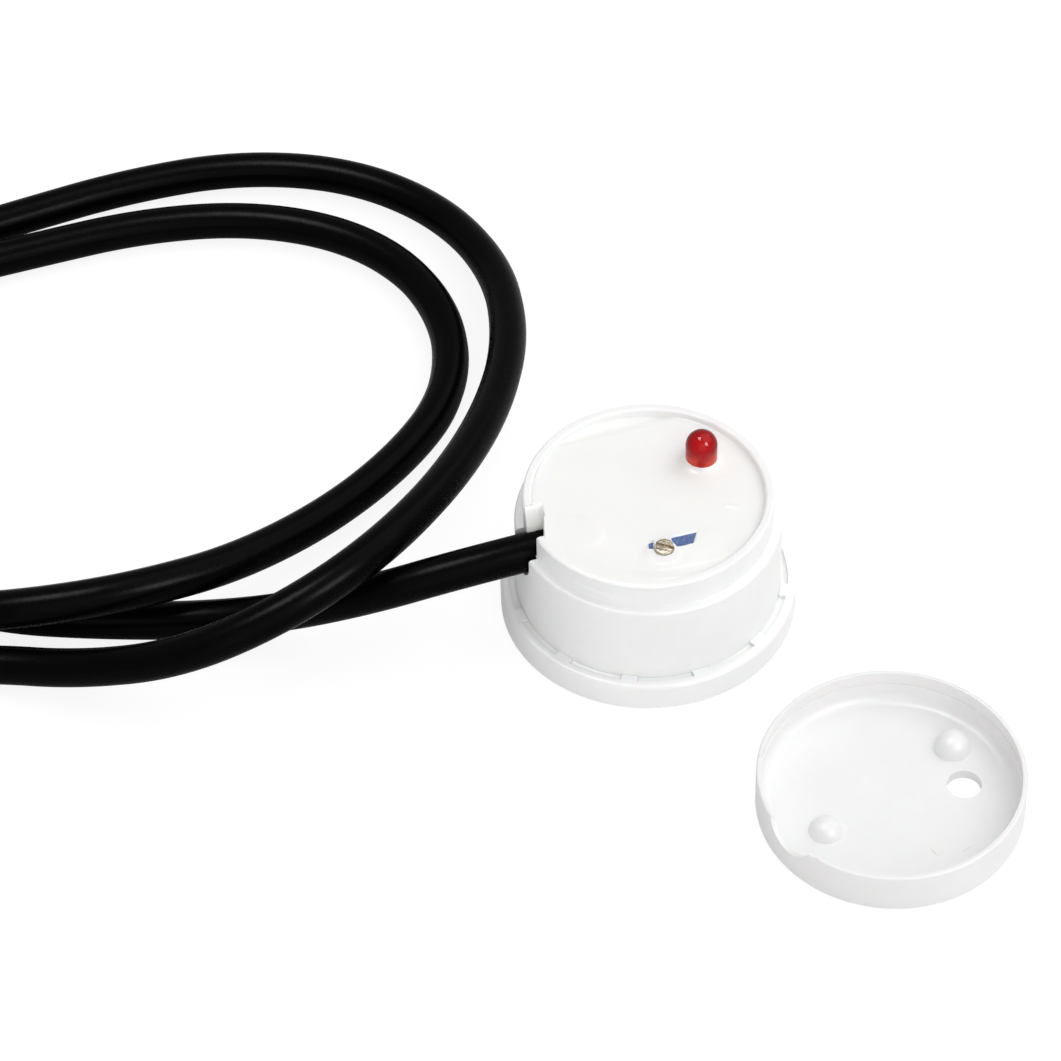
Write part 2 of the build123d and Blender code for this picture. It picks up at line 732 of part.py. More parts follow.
# Four cores between the jacket and the board: forward, then down
inward = exit_direction * -1
core_end_z = board_top + core_end_gap
core_drop_places = []
inner_core_solids = []
for name, side, level, fan_angle in core_layout:
    forward = upper_core_run if level > 0 else lower_core_run
    start = exit_plane.from_local_coords((side * core_offset, level * core_offset, 0))
    turn = start + inward * forward
    end = Vector(turn.X, turn.Y, core_end_z)
    core_drop_places.append((turn.X, turn.Y))
    with BuildPart() as inner_core:
        with BuildLine():
            FilletPolyline(start, turn, end, radius=core_bend_radius)
        with BuildSketch(Plane(origin=start, z_dir=inward)):
            Circle(core_radius)
        sweep()
    inner_core.part.label = f"{name}_core_inner"
    export_step(inner_core.part, f"parts/{name}_core_inner.step")
    inner_core_solids.append(inner_core.part)

with BuildPart() as core_conductors:
    with BuildSketch(Plane.XY.offset(tail_z)):
        with Locations(*core_drop_places):
            Circle(conductor_diameter / 2)
    extrude(amount=core_end_z - tail_z)
core_conductors.part.label = "core_conductors"
export_step(core_conductors.part, "parts/core_conductors.step")

# Circuit board with a hole for each pin
led_lead_places = [
    tuple(led_flat.from_local_coords((side * lead_centre, 0, 0)))[:2] for side in (1, -1)
]
trimmer_pin_places = [
    tuple(trimmer_flat.from_local_coords((step * trimmer_pin_pitch, pin_row, 0)))[:2]
    for step in (-1, 0, 1)
]
with BuildPart() as circuit_board:
    with BuildSketch(Plane.XY.offset(board_underside)):
        Circle(board_radius)
        with Locations(*core_drop_places):
            Circle(conductor_diameter / 2 + pin_hole_clearance, mode=Mode.SUBTRACT)
        with Locations(*trimmer_pin_places):
            Circle(trimmer_pin_diameter / 2 + pin_hole_clearance, mode=Mode.SUBTRACT)
        with Locations(*led_lead_places):
            Circle(led_lead_size / math.sqrt(2) + pin_hole_clearance, mode=Mode.SUBTRACT)
        with Locations(electrode_pin_place):
            Circle(electrode_pin_diameter / 2 + pin_hole_clearance, mode=Mode.SUBTRACT)
    extrude(amount=board_thickness)
circuit_board.part.label = "circuit_board"
export_step(circuit_board.part, "parts/circuit_board.step")

# Solder: a cone under the board at each pin, and one above it at the electrode pin
with BuildPart() as solder_joints:
    with Locations(Plane.XY.offset(board_underside)):
        with Locations(*core_drop_places, *trimmer_pin_places, *led_lead_places):
            Cone(
                solder_tip_radius,
                solder_radius,
                solder_height,
                align=(Align.CENTER, Align.CENTER, Align.MAX),
            )
    add(core_conductors.part, mode=Mode.SUBTRACT)
    add(trimmer_pins.part, mode=Mode.SUBTRACT)
    add(led_anode_lead.part, mode=Mode.SUBTRACT)
    add(led_cathode_lead.part, mode=Mode.SUBTRACT)
    with Locations(flat_plane(electrode_pin_place, board_top, 0)):
        Cone(
            electrode_solder_radius,
            electrode_solder_tip_radius,
            electrode_solder_height,
            align=(Align.CENTER, Align.CENTER, Align.MIN),
        )
    add(electrode_pin.part, mode=Mode.SUBTRACT)
solder_joints.part.label = "solder_joints"
export_step(solder_joints.part, "parts/solder_joints.step")

# Cable jacket from the resin to the stripped end
with BuildPart() as cable_jacket:
    with BuildLine() as jacket_line:
        FilletPolyline(*cable_route, radius=bend_radii(cable_route))
    with BuildSketch(exit_plane):
        Circle(cable_radius)
    sweep()
cable_jacket.part.label = "cable_jacket"
export_step(cable_jacket.part, "parts/cable_jacket.step")

# Resin round everything in the puck: a tilted surface, a fill in the notch and windows at the trimmer
tilt = math.radians(potting_tilt)
high_side = Vector(*polar(1, potting_high_angle))
surface_normal = Vector(0, 0, math.cos(tilt)) - high_side * math.sin(tilt)
trimmer_top_flat = trimmer_flat.offset(trimmer_height)
with BuildPart() as potting:
    with BuildSketch(Plane.XY.offset(dish_floor)):
        Circle(bore_radius - potting_skin)
    extrude(amount=body_height - shoulder_thickness - potting_skin)
    with BuildSketch(Plane.XY.offset(dish_floor)):
        Circle(neck_bore_radius - potting_skin)
    extrude(amount=body_height + neck_height)
    split(bisect_by=Plane(origin=(0, 0, potting_level), z_dir=surface_normal), keep=Keep.BOTTOM)
    with BuildSketch(exit_plane):
        Circle(notch_half - potting_skin)
        Rectangle(
            2 * (notch_half - potting_skin),
            rim_z - notch_fill_drop - cable_route[0][2],
            align=(Align.CENTER, Align.MIN),
        )
    extrude(amount=notch_fill_length)
    with BuildSketch(exit_plane):
        Circle(cable_radius)
    extrude(amount=2 * notch_fill_length, mode=Mode.SUBTRACT)
    with BuildSketch(Plane.XY.offset(board_underside)):
        Circle(board_radius)
    extrude(amount=board_thickness, mode=Mode.SUBTRACT)
    with BuildSketch(trimmer_flat):
        Rectangle(trimmer_length, trimmer_width)
    extrude(amount=trimmer_height, mode=Mode.SUBTRACT)
    with BuildSketch(trimmer_top_flat):
        with Locations(screw_offset):
            Circle(screw_window_radius)
        with Locations((0, trimmer_width / 2)):
            Polygon(*case_window, align=None)
        with Locations((-trimmer_length / 2, trimmer_width / 2)):
            Rectangle(corner_window_length, corner_window_depth, align=(Align.MIN, Align.MAX))
    extrude(amount=rim_z - trimmer_top + trimmer_height, mode=Mode.SUBTRACT)
    add(base_flange.part, mode=Mode.SUBTRACT)
    add(adhesive_pad.part, mode=Mode.SUBTRACT)
    add(sensing_electrode.part, mode=Mode.SUBTRACT)
    add(electrode_pin.part, mode=Mode.SUBTRACT)
    add(led_shape.part, mode=Mode.SUBTRACT)
    add(led_anode_lead.part, mode=Mode.SUBTRACT)
    add(led_cathode_lead.part, mode=Mode.SUBTRACT)
    add(trimmer_pins.part, mode=Mode.SUBTRACT)
    add(touch_chip.part, mode=Mode.SUBTRACT)
    add(touch_chip_leads.part, mode=Mode.SUBTRACT)
    add(voltage_regulator.part, mode=Mode.SUBTRACT)
    add(regulator_leads.part, mode=Mode.SUBTRACT)
    add(output_transistor.part, mode=Mode.SUBTRACT)
    add(transistor_leads.part, mode=Mode.SUBTRACT)
    add(protection_diode.part, mode=Mode.SUBTRACT)
    add(diode_leads.part, mode=Mode.SUBTRACT)
    add(chip_resistors.part, mode=Mode.SUBTRACT)
    add(chip_capacitors.part, mode=Mode.SUBTRACT)
    add(chip_end_caps.part, mode=Mode.SUBTRACT)
    add(inner_core_solids, mode=Mode.SUBTRACT)
    add(core_conductors.part, mode=Mode.SUBTRACT)
    add(solder_joints.part, mode=Mode.SUBTRACT)
potting.part.label = "potting"
export_step(potting.part, "parts/potting.step")

# Free cores: straight out of the jacket, then fanned and down to the surface
end_point = Vector(*cable_route[-1])
end_direction = (end_point - Vector(*cable_route[-2])).normalized()
end_angle = math.degrees(math.atan2(end_direction.Y, end_direction.X))
end_side = Vector(0, 0, 1).cross(end_direction)
end_plane = Plane(origin=end_point, x_dir=end_side, z_dir=end_direction)
tip_planes = []
for name, side, level, fan_angle in core_layout:
    start = end_plane.from_local_coords((-side * core_offset, level * core_offset, 0))
    fall = start.Z - core_radius
    points = [start]
    for run, share, turn_share in zip(fan_runs, fan_fall_shares, fan_turn_shares):
        heading = Vector(*polar(run, end_angle + fan_angle * turn_share))
        place = points[-1] + heading
        points.append(Vector(place.X, place.Y, start.Z - fall * share))
    radii = bend_radii([tuple(point) for point in points])
    last_heading = (points[-1] - points[-2]).normalized()
    tip_planes.append(Plane(origin=points[-1], z_dir=last_heading))
    with BuildPart() as free_core:
        with BuildLine():
            FilletPolyline(*points, radius=radii)
        with BuildSketch(end_plane):
            with Locations((-side * core_offset, level * core_offset)):
                Circle(core_radius)
        sweep()
    free_core.part.label = f"{name}_core"
    export_step(free_core.part, f"parts/{name}_core.step")
    print(f"{name} core bend radii, mm:", [round(radius, 1) for radius in radii])

with BuildPart() as tinned_tips:
    for tip_plane in tip_planes:
        with BuildSketch(tip_plane):
            Circle(tip_diameter / 2)
        extrude(amount=core_strip_length)
tinned_tips.part.label = "tinned_tips"
export_step(tinned_tips.part, "parts/tinned_tips.step")

# Cap: open side up, turned over on the surface, so its angles run the other way from the puck's
cap_flat = flat_plane(cap_place, 0, 0)
cap_axis = Axis((*cap_place, 0), (0, 0, 1))
cap_radius = body_radius - cap_inset
cap_bore_radius = neck_radius + cap_fit
cap_groove_z = cap_height - bead_above_shoulder
led_angle = math.degrees(math.atan2(led_place[1], led_place[0]))
led_circle_radius = math.hypot(*led_place)
cap_hole_angle = cap_arch_angle + exit_angle - led_angle
cap_arch_radius = cable_radius + cap_arch_clearance
cap_arch_z = cap_height + shoulder_z - cable_route[0][2]
with BuildPart() as cap:
    with BuildSketch(cap_flat):
        Circle(cap_radius)
    extrude(amount=cap_height)
    fillet(cap.edges().group_by(Axis.Z)[0], cap_edge_fillet)
    fillet(cap.edges().group_by(Axis.Z)[-1], cap_mouth_fillet)
    with BuildSketch(upright_plane(cap_place, 0, 0)):
        with BuildLine():
            Polyline(
                (cap_bore_radius - cap_floor_dish, cap_floor),
                (0, cap_floor),
                (0, cap_height),
                (cap_bore_radius, cap_height),
                (cap_bore_radius, cap_floor + cap_floor_dish),
            )
            TangentArc(
                (cap_bore_radius - cap_floor_dish, cap_floor),
                (cap_bore_radius, cap_floor + cap_floor_dish),
                tangent=(1, 0),
            )
        make_face()
    revolve(axis=cap_axis, mode=Mode.SUBTRACT)
    with BuildSketch(cap_flat.offset(cap_groove_z - cap_groove_height / 2)):
        Circle(cap_bore_radius + cap_groove_depth)
    extrude(amount=cap_groove_height, mode=Mode.SUBTRACT)
    with BuildSketch(cap_flat):
        with Locations(polar(led_circle_radius, cap_hole_angle)):
            Circle(led_radius + cap_hole_clearance)
    extrude(amount=cap_height, mode=Mode.SUBTRACT)
    for stud_distance, stud_angle, stud_half, stud_height in cap_studs:
        stud_place = cap_flat.from_local_coords((*polar(stud_distance, stud_angle), cap_floor))
        with BuildSketch(upright_plane((stud_place.X, stud_place.Y), stud_place.Z, 0)):
            with BuildLine():
                Polyline((0, stud_height), (0, -cap_floor / 2), (stud_half, -cap_floor / 2), (stud_half, 0))
                TangentArc((0, stud_height), (stud_half, 0), tangent=(1, 0))
            make_face()
        revolve(axis=Axis(stud_place, (0, 0, 1)))
    arch_out = Vector(*polar(1, cap_arch_angle))
    with BuildSketch(Plane(origin=(*cap_place, cap_arch_z), z_dir=arch_out)):
        Circle(cap_arch_radius)
    extrude(amount=2 * cap_radius, mode=Mode.SUBTRACT)
cap.part.label = "cap"
export_step(cap.part, "parts/cap.step")

# Cable figures: radii, volume against section times length, and the least gap between its turns
route_radii = bend_radii(cable_route)
jacket_wire = jacket_line.wire()
jacket_length = jacket_wire.length
section_volume = math.pi * cable_radius**2 * jacket_length
sample_step = 0.5
turn_separation = 4 * cable_diameter
sample_count = int(jacket_length / sample_step)
samples = [tuple(jacket_wire @ (index / sample_count)) for index in range(sample_count + 1)]
neighbour_span = int(turn_separation / sample_step)
least_gap = min(
    math.dist(samples[first], samples[second]) - cable_diameter
    for first in range(len(samples))
    for second in range(first + neighbour_span, len(samples))
)
print("cable bend radii, mm:", [round(radius, 1) for radius in route_radii])
print("cable length, mm:", round(jacket_length, 1))
print("jacket volume over section times length:", round(cable_jacket.part.volume / section_volume, 5))
print("least gap between the cable's own turns, mm:", round(least_gap, 2))
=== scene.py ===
"""Looks of a round stick-on water level sensor, its push-on cap and its looped cable.

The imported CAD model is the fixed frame. Every piece made here lies in that frame, in metres,
and rides on one of its bodies. Sizes are given in millimetres and turned to metres once.
"""

import logging
import math
from dataclasses import dataclass, replace
from enum import Enum
from typing import Sequence

import bmesh
import bpy
from mathutils import Matrix, Vector


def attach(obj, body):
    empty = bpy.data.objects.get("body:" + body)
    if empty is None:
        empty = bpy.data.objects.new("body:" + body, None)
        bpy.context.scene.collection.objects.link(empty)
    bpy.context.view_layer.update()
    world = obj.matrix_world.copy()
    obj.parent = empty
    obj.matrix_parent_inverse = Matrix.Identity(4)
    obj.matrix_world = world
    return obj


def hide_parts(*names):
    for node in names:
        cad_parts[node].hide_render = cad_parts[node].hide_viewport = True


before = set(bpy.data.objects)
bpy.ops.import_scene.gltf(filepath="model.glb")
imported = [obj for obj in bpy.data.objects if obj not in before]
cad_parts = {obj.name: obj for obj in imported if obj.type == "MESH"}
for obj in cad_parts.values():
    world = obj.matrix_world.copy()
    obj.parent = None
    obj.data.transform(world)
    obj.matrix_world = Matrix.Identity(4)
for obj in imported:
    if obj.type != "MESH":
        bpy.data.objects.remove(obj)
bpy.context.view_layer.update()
LOG = logging.getLogger("level_sensor")

MM = 0.001
MERGE_MM = 1e-4
Pair = tuple[float, float]
Point = tuple[float, float, float]
Shape = bmesh.types.BMesh
Tree = bpy.types.NodeTree
Socket = bpy.types.NodeSocket

# Places in plan, in millimetres, that more than one piece needs.
SCREW_AT: Pair = (1.177, -6.924)
LENS_AT: Pair = (5.15, 4.65)
CASE_AT: Pair = (3.106, -6.977)

# Sockets of a colour mix node, whose names repeat for each data type.
MIX_LOW, MIX_HIGH, MIX_OUT = 6, 7, 2

# Ranges of the noise that make a full sweep of colour and of roughness.
CLOUD_RANGE: Pair = (0.35, 0.7)
GRAIN_RANGE: Pair = (0.3, 0.7)


class Body(Enum):
    """The CAD bodies that new pieces ride on."""

    SENSOR = "sensor"
    SCREW = "trimmer_screw"
    CAP = "cap"


class Slot(Enum):
    """Names of material slots; nothing in this script uses them."""

    ABS = "white_abs"
    RESIN = "resin"
    LENS = "lens_red"
    BRASS = "screw_brass"
    JACKET = "jacket_black"
    BROWN = "core_brown"
    YELLOW = "core_yellow"
    BLUE = "core_blue"
    BLACK = "core_black"
    TINNED = "tinned_copper"


def to_linear(code: str) -> tuple[float, float, float, float]:
    """Turns an sRGB hex colour into linear light.

    Args:
        code: Six hex digits, such as "F4F4F2".

    Returns:
        Red, green, blue and an alpha of 1.
    """
    values = [int(code[i:i + 2], 16) / 255 for i in (0, 2, 4)]
    linear = [v / 12.92 if v <= 0.04045 else ((v + 0.055) / 1.055) ** 2.4 for v in values]
    return (*linear, 1.0)


def around(radius: float, angle: float, height: float = 0.0) -> Vector:
    """Gives a point in millimetres from its radius, its angle in degrees and its height."""
    turn = math.radians(angle)
    return Vector((radius * math.cos(turn), radius * math.sin(turn), height))


def smooth_step(low: float, high: float, value: float) -> float:
    """Gives 0 below low, 1 above high and a smooth ramp between them."""
    share = min(1.0, max(0.0, (value - low) / (high - low)))
    return share * share * (3 - 2 * share)


def toward(value: float, target: float, share: float) -> float:
    """Moves a value a share of the way to its target."""
    return value + (target - value) * share


def add_node(tree: Tree, kind: str, links: dict | None = None,
             values: dict | None = None, **settings: object) -> bpy.types.Node:
    """Adds a shader node.

    Args:
        tree: The material's or world's node tree.
        kind: The node's type, such as "ShaderNodeBump".
        links: Sockets that feed its inputs, by input name or number.
        values: Constants for its inputs, by input name or number.
        settings: Properties of the node itself.

    Returns:
        The new node.
    """
    node = tree.nodes.new(kind)
    for name, value in settings.items():
        setattr(node, name, value)
    for name, value in (values or {}).items():
        node.inputs[name].default_value = value
    for name, source in (links or {}).items():
        tree.links.new(source, node.inputs[name])
    return node


def add_noise(tree: Tree, place: Socket, size_mm: float, detail: float,
              roughness: float = 0.5) -> Socket:
    """Adds noise of a size in millimetres at object coordinates, and gives its output."""
    node = add_node(tree, "ShaderNodeTexNoise", {"Vector": place},
                    {"Scale": 1 / (size_mm * MM), "Detail": detail, "Roughness": roughness})
    return node.outputs["Fac"]


def add_ramp(tree: Tree, value: Socket, span: Pair, onto: Pair = (0.0, 1.0),
             **settings: object) -> Socket:
    """Maps a span of values onto another one.

    Args:
        tree: The material's node tree.
        value: The value to map.
        span: Where the span of that value begins and ends.
        onto: What its beginning and its end become.
        settings: Properties of the node itself.

    Returns:
        The mapped value's output.
    """
    limits = zip(("From Min", "From Max", "To Min", "To Max"), (*span, *onto))
    node = add_node(tree, "ShaderNodeMapRange", {"Value": value}, dict(limits), **settings)
    return node.outputs["Result"]


def mix_colours(tree: Tree, share: Socket, low: str | Socket, high: str | Socket) -> Socket:
    """Mixes two colours, each of them an sRGB hex or a socket.

    Args:
        tree: The material's node tree.
        share: The share of the second colour.
        low: The first colour.
        high: The second colour.

    Returns:
        The colour output.
    """
    mix = add_node(tree, "ShaderNodeMix", {"Factor": share}, data_type="RGBA")
    for number, colour in ((MIX_LOW, low), (MIX_HIGH, high)):
        if isinstance(colour, str):
            mix.inputs[number].default_value = to_linear(colour)
        else:
            tree.links.new(colour, mix.inputs[number])
    return mix.outputs[MIX_OUT]


def seen_or_lit(tree: Tree, lit: bpy.types.Node, seen: bpy.types.Node) -> Socket:
    """Shows one shader to camera and transmission rays, and another to all other rays.

    Args:
        tree: The material's or world's node tree.
        lit: The shader whose light falls on the object.
        seen: The shader that the camera sees.

    Returns:
        The mixed shader's output.
    """
    rays = add_node(tree, "ShaderNodeLightPath")
    direct = add_node(tree, "ShaderNodeMath",
                      {0: rays.outputs["Is Camera Ray"], 1: rays.outputs["Is Transmission Ray"]},
                      operation="MAXIMUM")
    mix = add_node(tree, "ShaderNodeMixShader",
                   {0: direct.outputs[0], 1: lit.outputs[0], 2: seen.outputs[0]})
    return mix.outputs[0]


@dataclass(frozen=True)
class Finish:
    """A plain finish: a base colour with soft clouds of a second one, and a fine grain.

    Attributes:
        name: Name of the material.
        colour: sRGB hex of the surface.
        shade: sRGB hex that the clouds go towards.
        roughness: Mean roughness of the surface.
        spread: How much the roughness varies from place to place.
        cloud_mm: Size of the colour's clouds.
        grain_mm: Size of the surface's grain.
        grain_height_mm: Height of that grain.
        metallic: 1 for bare metal, else 0.
        ior: Index of refraction.
        specular: Share of the plain Fresnel gloss, 0.5 being all of it.
        subsurface: Weight of light scattered under the surface.
        subsurface_mm: How far that light travels.
        transmission: Share of the light that goes right through.
    """

    name: str
    colour: str
    shade: str
    roughness: float = 0.45
    spread: float = 0.06
    cloud_mm: float = 3.0
    grain_mm: float = 0.15
    grain_height_mm: float = 0.004
    metallic: float = 0.0
    ior: float = 1.5
    specular: float = 0.5
    subsurface: float = 0.0
    subsurface_mm: float = 1.0
    transmission: float = 0.0

    def colour_socket(self, tree: Tree, place: Socket) -> Socket:
        """Mixes the two colours in soft clouds.

        Args:
            tree: The material's node tree.
            place: Object coordinates.

        Returns:
            The colour output.
        """
        cloud = add_noise(tree, place, self.cloud_mm, 3.0, 0.55)
        return mix_colours(tree, add_ramp(tree, cloud, CLOUD_RANGE), self.colour, self.shade)

    def relief_socket(self, tree: Tree, place: Socket) -> Socket:
        """Gives the height of the surface's grain.

        Args:
            tree: The material's node tree.
            place: Object coordinates.

        Returns:
            The height output, from 0 to 1.
        """
        return add_noise(tree, place, self.grain_mm, 2.0)

    def material(self) -> bpy.types.Material:
        """Builds the material, once.

        Returns:
            The new material, or the one that has its name.
        """
        known = bpy.data.materials.get(self.name)
        if known:
            return known
        made = bpy.data.materials.new(self.name)
        made.use_nodes = True
        tree = made.node_tree
        tree.nodes.clear()
        place = add_node(tree, "ShaderNodeTexCoord").outputs["Object"]
        relief = self.relief_socket(tree, place)
        smoothest = max(0.02, self.roughness - self.spread)
        roughest = min(1.0, self.roughness + self.spread)
        bump = add_node(tree, "ShaderNodeBump", {"Height": relief},
                        {"Strength": 1.0, "Distance": self.grain_height_mm * MM})
        shader = add_node(
            tree, "ShaderNodeBsdfPrincipled",
            {"Base Color": self.colour_socket(tree, place),
             "Roughness": add_ramp(tree, relief, GRAIN_RANGE, (smoothest, roughest)),
             "Normal": bump.outputs["Normal"]},
            {"Metallic": self.metallic, "IOR": self.ior, "Specular IOR Level": self.specular,
             "Subsurface Weight": self.subsurface, "Subsurface Scale": self.subsurface_mm * MM,
             "Transmission Weight": self.transmission})
        add_node(tree, "ShaderNodeOutputMaterial", {"Surface": shader.outputs["BSDF"]})
        return made

    def dress(self, *pieces: bpy.types.Object) -> None:
        """Gives the material to these pieces, in place of any that they have."""
        for piece in pieces:
            piece.data.materials.clear()
            piece.data.materials.append(self.material())


@dataclass(frozen=True)
class PaintedLightLens(Finish):
    """Red epoxy lens with painted light: painted glow in its middle, painted shade at its outline.

    Attributes:
        painted_light_heart: painted glow where the eye looks straight in; `colour`: painted
            outline shade.
        foot: painted glow where the lens leaves the resin; goes towards `shade`, more painted
            glow, in clouds.
        foot_mm: Height of that place.
        dome_mm: Height from which the dome's colours hold.
        painted_glow_range: Range of the noise over which the foot's painted glow sweeps.
    """

    painted_light_heart: str = "C4080E"
    foot: str = "B8221E"
    foot_mm: float = 14.8
    dome_mm: float = 16.2
    painted_glow_range: Pair = (0.48, 0.62)

    def colour_socket(self, tree: Tree, place: Socket) -> Socket:
        """Paints light: painted shade at the outline, painted glow in the middle and at the foot
        below.

        Args:
            tree: The material's node tree.
            place: Object coordinates.

        Returns:
            The colour output.
        """
        # Painted shade at the outline and painted glow in the middle, by how squarely the lens
        # faces the eye.
        facing = add_node(tree, "ShaderNodeLayerWeight", values={"Blend": 0.5})
        dome = mix_colours(tree, facing.outputs["Facing"], self.painted_light_heart, self.colour)
        # Painted orange glow at the foot, in soft clouds.
        glow = add_ramp(tree, add_noise(tree, place, self.cloud_mm, 2.0), self.painted_glow_range)
        lower = mix_colours(tree, glow, self.foot, self.shade)
        # Height blends the foot's painted glow into the dome's painted light.
        height = add_node(tree, "ShaderNodeSeparateXYZ", {"Vector": place}).outputs["Z"]
        share = add_ramp(tree, height, (self.foot_mm * MM, self.dome_mm * MM),
                         interpolation_type="SMOOTHSTEP")
        return mix_colours(tree, share, lower, dome)


@dataclass(frozen=True)
class TurnedMetal(Finish):
    """Metal cut on a lathe: fine rings round the part's own axis.

    Attributes:
        centre_mm: Plan place of the axis.
        ring_mm: Width of one crest or hollow of the tool marks.
    """

    centre_mm: Pair = (0.0, 0.0)
    ring_mm: float = 0.12

    def relief_socket(self, tree: Tree, place: Socket) -> Socket:
        """Gives the height of the tool marks: the texture's phase is 20 times its distance.

        Args:
            tree: The material's node tree.
            place: Object coordinates.

        Returns:
            The height output, from 0 to 1.
        """
        centred = add_node(tree, "ShaderNodeMapping", {"Vector": place},
                           {"Location": (-self.centre_mm[0] * MM, -self.centre_mm[1] * MM, 0.0)})
        rings = add_node(tree, "ShaderNodeTexWave", {"Vector": centred.outputs["Vector"]},
                         {"Scale": math.pi / (20 * self.ring_mm * MM), "Distortion": 1.5,
                          "Detail": 2.0, "Detail Scale": 2.0},
                         wave_type="RINGS", rings_direction="Z")
        return rings.outputs["Fac"]


@dataclass(frozen=True)
class MaskedBoard(Finish):
    """Glass-fibre board under solder mask: raised tracks show through the lacquer.

    Attributes:
        track: sRGB hex of the mask over copper.
        track_mm: Spacing of the tracks.
        wall_range: Distances from a cell's middle, in cells, between which its wall begins.
    """

    track: str = "2F8F57"
    track_mm: float = 1.4
    wall_range: Pair = (0.4, 0.44)

    def colour_socket(self, tree: Tree, place: Socket) -> Socket:
        """Draws tracks as the walls of a coarse cell pattern, squared up.

        Args:
            tree: The material's node tree.
            place: Object coordinates.

        Returns:
            The colour output.
        """
        cells = add_node(tree, "ShaderNodeTexVoronoi", {"Vector": place},
                         {"Scale": 1 / (self.track_mm * MM), "Randomness": 0.6},
                         feature="F1", distance="CHEBYCHEV")
        edge = add_ramp(tree, cells.outputs["Distance"], self.wall_range)
        return mix_colours(tree, edge, self.colour, self.track)


# Injection-moulded ABS: bright white, with a satin skin that softens every edge.
MOULDED_ABS = Finish("moulded_white_abs", "F9F9F9", "F5F5F5", roughness=0.42, cloud_mm=6.0,
                     grain_mm=0.12, grain_height_mm=0.0025, ior=1.54, subsurface=0.12,
                     subsurface_mm=0.6)
# The same plastic on the thin-walled cap, in a greyer copy that is painted shade.
CAP_ABS_PAINTED_SHADE = replace(MOULDED_ABS, name="moulded_white_cap_painted_shade", colour="F1F1F1", shade="EEEEEE",
                      roughness=0.45)
# Cast epoxy potting compound: bright white with a trace of yellow, and a level gloss.
CAST_RESIN = Finish("cast_white_epoxy", "F9F9F7", "F7F7F5", roughness=0.34, spread=0.03,
                    cloud_mm=4.0, grain_mm=0.4, grain_height_mm=0.002, ior=1.55, specular=0.3,
                    subsurface=0.1, subsurface_mm=0.6)
# Red epoxy of the indicator with painted light: painted shade at its outline, painted glow in its
# middle and at its foot.
PAINTED_LIGHT_LENS = PaintedLightLens("cast_red_epoxy_painted_light", "520206", "D84A38", roughness=0.07, spread=0.03,
                     cloud_mm=1.5, grain_mm=0.3, grain_height_mm=0.001, ior=1.53, specular=0.13,
                     transmission=0.12)
# Free-cutting brass, turned and slotted: pale gold, dulled by the resin, with fine rings.
TURNED_BRASS = TurnedMetal("turned_brass", "D6CCBA", "9A9080", roughness=0.3, spread=0.08,
                           cloud_mm=0.5, metallic=1.0, grain_height_mm=0.01, centre_mm=SCREW_AT)
# Extruded PVC jacket: near black, satin, with the faint drag marks of the die.
EXTRUDED_JACKET = Finish("extruded_black_pvc", "030303", "050505", roughness=0.27, spread=0.05,
                         cloud_mm=5.0, grain_mm=0.3, grain_height_mm=0.006, ior=1.52,
                         specular=0.028)
# Copper drawn thin and tinned by dipping: soft grey silver with slow ripples.
DIPPED_TIN = Finish("dipped_tinned_copper", "C9C8C3", "B1AFA8", roughness=0.26, spread=0.1,
                    cloud_mm=0.8, grain_mm=0.25, grain_height_mm=0.02, metallic=1.0)
# Thin extruded PVC of the cores, glossier than the jacket.
CORE_FINISHES = {
    name: Finish(f"extruded_{name}_pvc", colour, shade, roughness=0.32, cloud_mm=2.0,
                 grain_mm=0.2, ior=1.53)
    for name, colour, shade in (("brown", "6A3B1E", "5A3017"), ("yellow", "EFC81E", "E2B813"),
                                ("blue", "1F5FC0", "184FA6"), ("black", "131314", "1C1C1D"))
}

